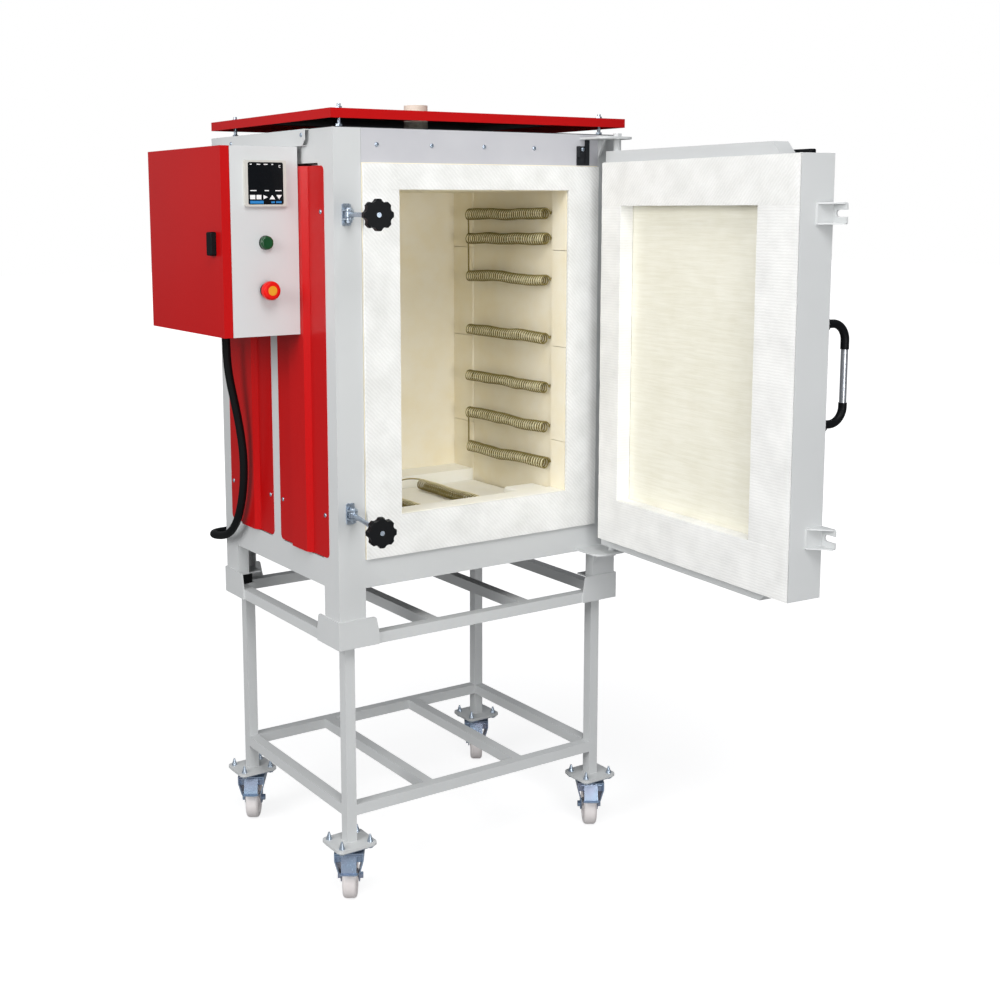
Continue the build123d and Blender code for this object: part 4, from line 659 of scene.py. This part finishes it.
@dataclass
class FibreStrips:
    """White fibre strips round the chamber's mouth and on the door's border.

    Attributes:
        thick: thickness of the mouth's strips.
        step: spacing of the skin's points.
        edge: radius of the edges.
        hollow: depth of the skin's hollows.
        lap: how far upright strips run behind the level ones.
        recess: how deep the door's fibre sits in its shell.
        proud: how thick its outer layer is.
        sheet: the shell's sheet with its gap.
        back: how much lower the upright strips lie.
        under: the inner layer's face below the door's.
        core_step: the inner layer's spacing as a share of step.
        border_seeds: seeds of the outer and the inner layer, and the step from strip to strip.
        borders: widths of the door's border at its free side, hinge side, bottom and top.
    """

    thick: float = 8.5
    frame_x: tuple = (67.0, 699.0)
    frame_z: tuple = (790.0, 1639.0)
    sill: float = 882.0
    head: float = 1583.0
    step: float = 9.0
    edge: float = 1.8
    hollow: float = 1.7
    lap: float = 2.5
    recess: float = 37.0
    proud: float = 6.0
    sheet: float = 1.5
    back: float = 0.3
    under: float = 2.5
    core_edge: float = 1.5
    core_step: float = 1.3
    mouth_seed: float = 3.7
    border_seeds: tuple = (11.3, 23.1, 2.9)
    borders: tuple = (116.0, 74.0, 105.0, 99.0)

    def mouth(self) -> None:
        """Lay the four strips round the mouth."""
        x0, x1 = CHAMBER_X
        spans = [((self.frame_x[0], self.frame_z[0]), (self.frame_x[1], self.sill)),
                 ((self.frame_x[0], self.head), (self.frame_x[1], self.frame_z[1])),
                 ((self.frame_x[0], self.sill - self.lap), (x0, self.head + self.lap)),
                 ((x1, self.sill - self.lap), (self.frame_x[1], self.head + self.lap))]
        mesh = bmesh.new()
        for i, (low, high) in enumerate(spans):
            out = self.thick - self.back * (i // 2)
            slab(mesh, (low[0], -out, low[1]), (high[0], 0.0, high[1]), at, self.step, self.edge, self.hollow,
                 self.mouth_seed * i)
        self.finish(mesh, "mouth_strips", "kiln", "fibre_frame", (BLANKET,))

    def border(self) -> None:
        """Lay the four strips of the door's border, stepped into its shell."""
        free, hinge, low_w, top_w = self.borders
        z0, z1 = DOOR_Z[0] + low_w, DOOR_Z[1] - top_w
        spans = [((DOOR_X[0], DOOR_Z[0]), (DOOR_X[1], z0)), ((DOOR_X[0], z1), (DOOR_X[1], DOOR_Z[1])),
                 ((DOOR_X[0], z0 - self.lap), (DOOR_X[0] + free, z1 + self.lap)),
                 ((DOOR_X[1] - hinge, z0 - self.lap), (DOOR_X[1], z1 + self.lap))]
        outer_seed, inner_seed, next_seed = self.border_seeds
        mesh = bmesh.new()
        for i, (low, high) in enumerate(spans):
            first = len(mesh.faces)
            face = DOOR_FACE - self.back * (i // 2)
            slab(mesh, (low[0], DOOR_FACE - self.proud, low[1]), (high[0], face, high[1]), on_door, self.step,
                 self.edge, self.hollow, outer_seed + next_seed * i)
            inner = (max(low[0], DOOR_X[0] + self.sheet), max(low[1], DOOR_Z[0] + self.sheet))
            outer = (min(high[0], DOOR_X[1] - self.sheet), min(high[1], DOOR_Z[1] - self.sheet))
            slab(mesh, (inner[0], DOOR_FACE - self.recess, inner[1]),
                 (outer[0], DOOR_FACE - self.under, outer[1]), on_door, self.step * self.core_step,
                 self.core_edge, self.hollow, inner_seed + next_seed * i)
            mesh.faces.ensure_lookup_table()
            for one in mesh.faces[first:]:
                one.material_index = 1 if i == 1 else 0
        self.finish(mesh, "door_border", "door", "door_fibre", (LEVEL, BLANKET))

    def finish(self, mesh: bmesh.types.BMesh, name: str, body: str, node: str, finishes: tuple) -> None:
        """Turn the strips into a piece that stands for a node."""
        bmesh.ops.recalc_face_normals(mesh, faces=mesh.faces)
        done = settled(mesh, name)
        for one in finishes:
            done.materials.append(one.material())
        piece = link(name, done, None, body, 50)
        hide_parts(node)


@dataclass
class ScrewHeads:
    """Cross-head screws of the side panels and rivets of the front panel.

    Attributes:
        head: a head's radius.
        high: its height.
        cross: the slots' width, as a share of the radius.
        strike: the screw beside the door.
        rail: the two screws of the control box's rails.
        skin: the side panels' sheet.
    """

    head: float = 5.0
    high: float = 2.7
    cross: float = 0.22
    side_y: tuple = (55.0, 258.0, 322.0, 525.0)
    side_z: tuple = (887.0, 1538.0)
    rivet_x: tuple = (105.0, 516.0)
    rivet_z: float = 1677.0
    rivets: int = 4
    strike: tuple = (653.0, -3.0, 1677.0)
    rail: tuple = ((-12.0, 116.0, 1699.0), (-12.0, 470.0, 1694.0))
    body_w: float = 766.0
    skin: float = 1.2

    def tree(self) -> tuple[bpy.types.NodeTree, dict[str, str]]:
        """Give the tree that stands a domed, crossed head on each point, turned to its direction."""
        tree, keys = new_tree("screw heads", {
            "Radius": "NodeSocketFloat", "Height": "NodeSocketFloat", "Material": "NodeSocketMaterial"})
        given = add(tree, "NodeGroupInput").outputs
        ball = add(tree, "GeometryNodeMeshUVSphere", {"Segments": 20, "Rings": 12, "Radius": given["Radius"]})
        squash = add(tree, "ShaderNodeMath", {0: given["Height"], 1: given["Radius"]}, operation="DIVIDE")
        shape = add(tree, "ShaderNodeCombineXYZ", {0: 1.0, 1: 1.0, 2: squash.outputs[0]})
        dome = add(tree, "GeometryNodeTransform", {0: ball.outputs[0], "Scale": shape.outputs[0]})
        thin = add(tree, "ShaderNodeMath", {0: given["Radius"], 1: self.cross}, operation="MULTIPLY")
        one = add(tree, "ShaderNodeCombineXYZ", {0: given["Radius"], 1: thin.outputs[0], 2: given["Height"]})
        two = add(tree, "ShaderNodeCombineXYZ", {0: thin.outputs[0], 1: given["Radius"], 2: given["Height"]})
        up = add(tree, "ShaderNodeCombineXYZ", {2: given["Height"]})
        cuts = [add(tree, "GeometryNodeTransform", {0: add(tree, "GeometryNodeMeshCube", {
            "Size": size.outputs[0]}).outputs[0], "Translation": up.outputs[0]}) for size in (one, two)]
        cut = add(tree, "GeometryNodeMeshBoolean", {0: dome.outputs[0]}, operation="DIFFERENCE")
        for piece in cuts:
            tree.links.new(piece.outputs[0], cut.inputs[1])
        way = add(tree, "GeometryNodeInputNamedAttribute", {"Name": "way"}, data_type="FLOAT_VECTOR")
        turn = add(tree, "FunctionNodeAlignRotationToVector", {"Vector": way.outputs[0]}, axis="Z")
        placed = add(tree, "GeometryNodeInstanceOnPoints", {
            "Points": given["Geometry"], "Instance": cut.outputs[0], "Rotation": turn.outputs[0]})
        real = add(tree, "GeometryNodeRealizeInstances", {0: placed.outputs[0]})
        done = add(tree, "GeometryNodeSetMaterial", {0: real.outputs[0], "Material": given["Material"]})
        add(tree, "NodeGroupOutput", {0: done.outputs[0]})
        return tree, keys

    def build(self) -> None:
        """Stand the heads on the sheets."""
        points, ways = [], []
        for y in self.side_y:
            for z in self.side_z:
                for x, way in ((-self.skin, -1.0), (self.body_w + self.skin, 1.0)):
                    points.append(at(x, y, z))
                    ways.append(Vector((way, 0, 0)))
        step = (self.rivet_x[1] - self.rivet_x[0]) / (self.rivets - 1)
        for i in range(self.rivets):
            points.append(at(self.rivet_x[0] + i * step, 0.0, self.rivet_z))
            ways.append(Vector((0, -1, 0)))
        points.append(at(*self.strike))
        ways.append(Vector((0, -1, 0)))
        for spot in self.rail:
            points.append(at(*spot))
            ways.append(Vector((-1, 0, 0)))
        tree, keys = self.tree()
        mesh = run_tree("heads", tree, keys, points, ways, {
            "Radius": self.head / MM, "Height": self.high / MM, "Material": ZINC.material()})
        piece = link("screw_heads", mesh, ZINC, "kiln", 40)
        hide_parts("panel_screws")


@dataclass
class ControlPanel:
    """Window, keys and display of the controller, and the discs of the two fittings.

    Attributes:
        centre_z: height of the controller's middle.
        proud: how far the controller stands out from the case.
        window_sunk: the window's back behind the controller's face.
        print_sunk: the print's back behind that face.
        lamp_z: height of the pilot lamp.
        stop_z: height of the stop button.
        ring_turns: number of sides of a ring.
        ring_edge: bevel of its outer edge.
    """

    centre_z: float = 1597.5
    proud: float = 8.0
    window_sunk: float = 0.8
    print_sunk: float = 0.4
    print_thick: float = 0.25
    lamp_z: float = 1473.5
    stop_z: float = 1373.0
    ring_turns: int = 48
    ring_edge: float = 0.8

    def plate(self, name: str, x: tuple, z: tuple, thick: float, finish: Finish, edge: float = 1.0) -> None:
        """Add a thin plate on the controller's face."""
        mesh = bmesh.new()
        bmesh.ops.create_cube(mesh, size=1.0)
        front = CASE_FRONT - self.proud + self.window_sunk
        size = Vector((x[1] - x[0], thick, z[1] - z[0])) / MM
        middle = at(PANEL_LINE_X + (x[0] + x[1]) / 2, front - thick / 2, self.centre_z + (z[0] + z[1]) / 2)
        spread = Matrix.Translation(middle) @ Matrix.Diagonal((*size, 1.0))
        bmesh.ops.transform(mesh, matrix=spread, verts=mesh.verts)
        through = [e for e in mesh.edges if abs((e.verts[0].co - e.verts[1].co).normalized().y) > 0.9]
        bmesh.ops.bevel(mesh, geom=through, offset=edge / MM, segments=3, affect="EDGES")
        link(name, settled(mesh, name), finish, "kiln", 30)

    def marks(self, name: str, outlines: list[list[tuple]], finish: Finish) -> None:
        """Print flat marks on the window.

        Args:
            name: the piece's name.
            outlines: corners of each mark, in millimetres from the window's centre.
            finish: the print's finish.
        """
        mesh = bmesh.new()
        front = CASE_FRONT - self.proud + self.print_sunk
        for outline in outlines:
            layers = [[mesh.verts.new(at(PANEL_LINE_X + x, y, self.centre_z + z)) for x, z in outline]
                      for y in (front, front - self.print_thick)]
            mesh.faces.new(layers[1])
            mesh.faces.new(layers[0][::-1])
            for i in range(len(outline)):
                n = (i + 1) % len(outline)
                mesh.faces.new((layers[0][i], layers[0][n], layers[1][n], layers[1][i]))
        bmesh.ops.recalc_face_normals(mesh, faces=mesh.faces)
        link(name, settled(mesh, name), finish, "kiln", 30)

    def ring(self, name: str, z: float, inner: float, outer: float, near: float, far: float, finish: Finish,
             body: str = "kiln", slot: str = "black_plastic") -> None:
        """Turn a flat ring about a fitting's axis.

        Args:
            name: the piece's name.
            z: height of the axis.
            inner: inner radius.
            outer: outer radius.
            near: the ring's back, as a distance in front of the case.
            far: its face.
            finish: its finish.
            body: the body that it rides on.
            slot: not used.
        """
        mesh = bmesh.new()
        bevel = self.ring_edge
        profile = ((inner, far), (outer - bevel, far), (outer, far - bevel), (outer, near), (inner, near))
        rows = []
        for i in range(self.ring_turns):
            angle = 2 * math.pi * i / self.ring_turns
            rows.append([mesh.verts.new(at(PANEL_LINE_X + r * math.cos(angle), CASE_FRONT - out,
                                           z + r * math.sin(angle))) for r, out in profile])
        for i, a in enumerate(rows):
            b = rows[(i + 1) % self.ring_turns]
            for k in range(len(profile)):
                n = (k + 1) % len(profile)
                mesh.faces.new((a[k], a[n], b[n], b[k]))
        bmesh.ops.recalc_face_normals(mesh, faces=mesh.faces)
        link(name, settled(mesh, name), finish, body, 30)

    def build(self) -> None:
        """Dress the front of the control box."""
        def bar(left: float, right: float, low: float, high: float) -> list[tuple]:
            """Give the corners of an upright rectangle."""
            return [(left, low), (right, low), (right, high), (left, high)]

        self.plate("controller_window", (-40.8, 40.8), (-43.8, 43.8), 0.4, WINDOW, 2.0)
        top = [bar(x0, x1, 38.5, 40.5) for x0, x1 in ((-36, -32), (-20, -12), (-4, 5), (14, 18))]
        unit = [bar(31, 32, 33, 38), bar(32, 35, 33, 34), bar(32, 35, 37, 38)]
        middle = [bar(x0, x1, -16, -14) for x0, x1 in ((-36, -22), (-3, 7), (22, 36))]
        keys = [bar(-37, -25, -33, -24), bar(-22, -11, -33, -24), [(-6, -33), (-6, -24), (4, -28.5)],
                [(8, -33), (21, -33), (14.5, -24)], [(24, -24), (37, -24), (30.5, -33)]]
        self.marks("controller_print", top + unit + middle + keys, PRINT)
        blue = [bar(-37, -6, -42, -36), bar(12, 20, -41, -37), bar(23, 36, -41, -37)]
        self.marks("controller_bars", blue, BLUE)
        self.ring("stop_disc", self.stop_z, 0.5, 10.5, 30.9, 31.5, YELLOW, "stop_button", "red_plastic")
        self.ring("lamp_bezel", self.lamp_z, 11.9, 15.2, 0.0, 2.4, MOULDED)


@dataclass
class Conduit:
    """Flexible conduit from the control box round the back corner."""

    across: float = 19.0
    route: tuple = (
        (-60, 419, 1253), (-60, 419, 1205), (-56, 414, 1150), (-47, 405, 1090), (-39, 399, 1030),
        (-33, 397, 970), (-31, 403, 910), (-31, 418, 855), (-31, 446, 803), (-31, 490, 765), (-31, 545, 748),
        (-31, 598, 742), (-7, 622, 741), (26, 622, 741))
    length: float = 693.0

    def build(self) -> None:
        """Draw the conduit along its route."""
        piece = round_line("conduit_line", [at(*point) for point in self.route], self.across / 2 / MM, 8, 16)
        piece.data.materials.append(RUBBER.material())
        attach(piece, "kiln")
        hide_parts("conduit")
        log.info("conduit of %d points", len(self.route))


@dataclass
class Studio:
    """Floor, light and camera.

    Attributes:
        place: where the camera stands.
        yaw: its turn to the right, in radians.
        pitch: its tilt down, in radians.
        roll: its lean, in radians.
        focal_px: its focal length in pixels of the photograph.
        centre_px: the pixel that it looks at.
        frame_px: the photograph's side in pixels.
        sensor: the camera's sensor.
        aim: what the lamps point at.
        soft: strength of the world's light.
        half: half the floor's side, in metres.
        reach: distances from the origin, in metres, between which the floor grows brighter for the camera.
        lift: its added brightness at the two.
        lamps: place, size in metres and power in watts of each lamp.
    """

    place: tuple = (-1393.7, -2553.136, 1545.953)
    yaw: float = 0.576
    pitch: float = 0.143
    roll: float = -0.004
    focal_px: float = 1389.524
    centre_px: tuple = (441.658, 407.55)
    frame_px: float = 1000.0
    sensor: float = 36.0
    aim: tuple = (383, 200, 1000)
    soft: float = 0.33
    half: float = 30.0
    reach: tuple = (0.9, 4.0)
    lift: tuple = (0.78, 1.05)
    lamps: tuple = (
        ((-900, -2700, 4300), 2.4, 84.0), ((-3600, -900, 2600), 2.4, 100.0), ((-350, -3600, 1250), 1.4, 36.0))

    def camera(self) -> None:
        """Stand the camera where the photograph was taken."""
        ahead = Vector((math.sin(self.yaw) * math.cos(self.pitch), math.cos(self.yaw) * math.cos(self.pitch),
                        -math.sin(self.pitch)))
        side = Vector((math.cos(self.yaw), -math.sin(self.yaw), 0.0))
        up = side.cross(ahead)
        c, s = math.cos(self.roll), math.sin(self.roll)
        side, up = c * side + s * up, -s * side + c * up
        data = bpy.data.cameras.new("camera")
        data.sensor_width = self.sensor
        data.lens = self.focal_px * self.sensor / self.frame_px
        data.shift_x = (self.frame_px / 2 - self.centre_px[0]) / self.frame_px
        data.shift_y = (self.centre_px[1] - self.frame_px / 2) / self.frame_px
        data.clip_end = 50.0
        held = bpy.data.objects.new("camera", data)
        turn = Matrix((side, up, -ahead)).transposed()
        held.matrix_world = Matrix.Translation(at(*self.place)) @ turn.to_4x4()
        bpy.context.scene.collection.objects.link(held)
        bpy.context.scene.camera = held

    def light(self) -> None:
        """Hang soft lamps and a pale world."""
        for spot, size, power in self.lamps:
            data = bpy.data.lights.new("lamp", "AREA")
            data.shape = "DISK"
            data.size = size
            data.energy = power
            lamp = bpy.data.objects.new("lamp", data)
            lamp.location = at(*spot)
            way = at(*self.aim) - lamp.location
            lamp.rotation_euler = way.to_track_quat("-Z", "Y").to_euler()
            bpy.context.scene.collection.objects.link(lamp)
        world = bpy.data.worlds.new("studio")
        world.use_nodes = True
        bpy.context.scene.world = world
        tree = world.node_tree
        tree.nodes.clear()
        path = add(tree, "ShaderNodeLightPath")
        soft = add(tree, "ShaderNodeBackground", {"Color": colour("F4F6FA"), "Strength": self.soft})
        bright = add(tree, "ShaderNodeBackground", {"Color": (1.0, 1.0, 1.0, 1.0), "Strength": 1.0})
        mixed = add(tree, "ShaderNodeMixShader", {
            0: path.outputs["Is Camera Ray"], 1: soft.outputs[0], 2: bright.outputs[0]})
        add(tree, "ShaderNodeOutputWorld", {0: mixed.outputs[0]})

    def floor(self) -> None:
        """Lay the pale floor."""
        mesh = bpy.data.meshes.new("floor")
        half = self.half
        corners = [(-half, -half, 0), (half, -half, 0), (half, half, 0), (-half, half, 0)]
        mesh.from_pydata(corners, [], [(0, 1, 2, 3)])
        made = bpy.data.materials.new("pale floor")
        made.use_nodes = True
        tree = made.node_tree
        shader = tree.nodes["Principled BSDF"]
        shader.inputs["Base Color"].default_value = colour("A8A8A8")
        shader.inputs["Roughness"].default_value = 0.8
        shader.inputs["Emission Color"].default_value = (1.0, 1.0, 1.0, 1.0)
        seen = add(tree, "ShaderNodeLightPath")
        spot = add(tree, "ShaderNodeTexCoord").outputs["Object"]
        far = add(tree, "ShaderNodeVectorMath", {0: spot}, operation="LENGTH")
        grown = add(tree, "ShaderNodeMapRange", {
            "Value": far.outputs["Value"], "From Min": self.reach[0], "From Max": self.reach[1],
            "To Min": self.lift[0], "To Max": self.lift[1]})
        lift = add(tree, "ShaderNodeMath", {0: seen.outputs["Is Camera Ray"], 1: grown.outputs[0]},
                   operation="MULTIPLY")
        tree.links.new(lift.outputs[0], shader.inputs["Emission Strength"])
        mesh.materials.append(made)
        piece = bpy.data.objects.new("floor", mesh)
        bpy.context.scene.collection.objects.link(piece)

    def build(self) -> None:
        """Set up the studio."""
        self.camera()
        self.light()
        self.floor()
        bpy.context.scene.view_settings.view_transform = "Standard"


def dress_nodes() -> None:
    """Give every node of the model its finish."""
    for name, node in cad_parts.items():
        finish = NODE_FINISH.get(name) or CASTOR_FINISH[name.rsplit("_", 2)[0]]
        node.data.materials.clear()
        node.data.materials.append(finish.material())
        # The roof's faces that point down get the near-black finish.
        if name == "roof_plate":
            node.data.materials.append(DARK.material())
            for face in node.data.polygons:
                face.material_index = 1 if face.normal.z < FACES_DOWN else 0
    log.info("%d nodes dressed", len(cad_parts))


def main() -> None:
    """Build the pieces in order."""
    logging.basicConfig(level=logging.INFO, format="%(message)s")
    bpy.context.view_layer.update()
    Studio().build()
    Conduit().build()
    dress_nodes()
    HeatingCoils().build()
    FibreStrips().mouth()
    FibreStrips().border()
    ScrewHeads().build()
    ControlPanel().build()


if __name__ == "__main__":
    main()
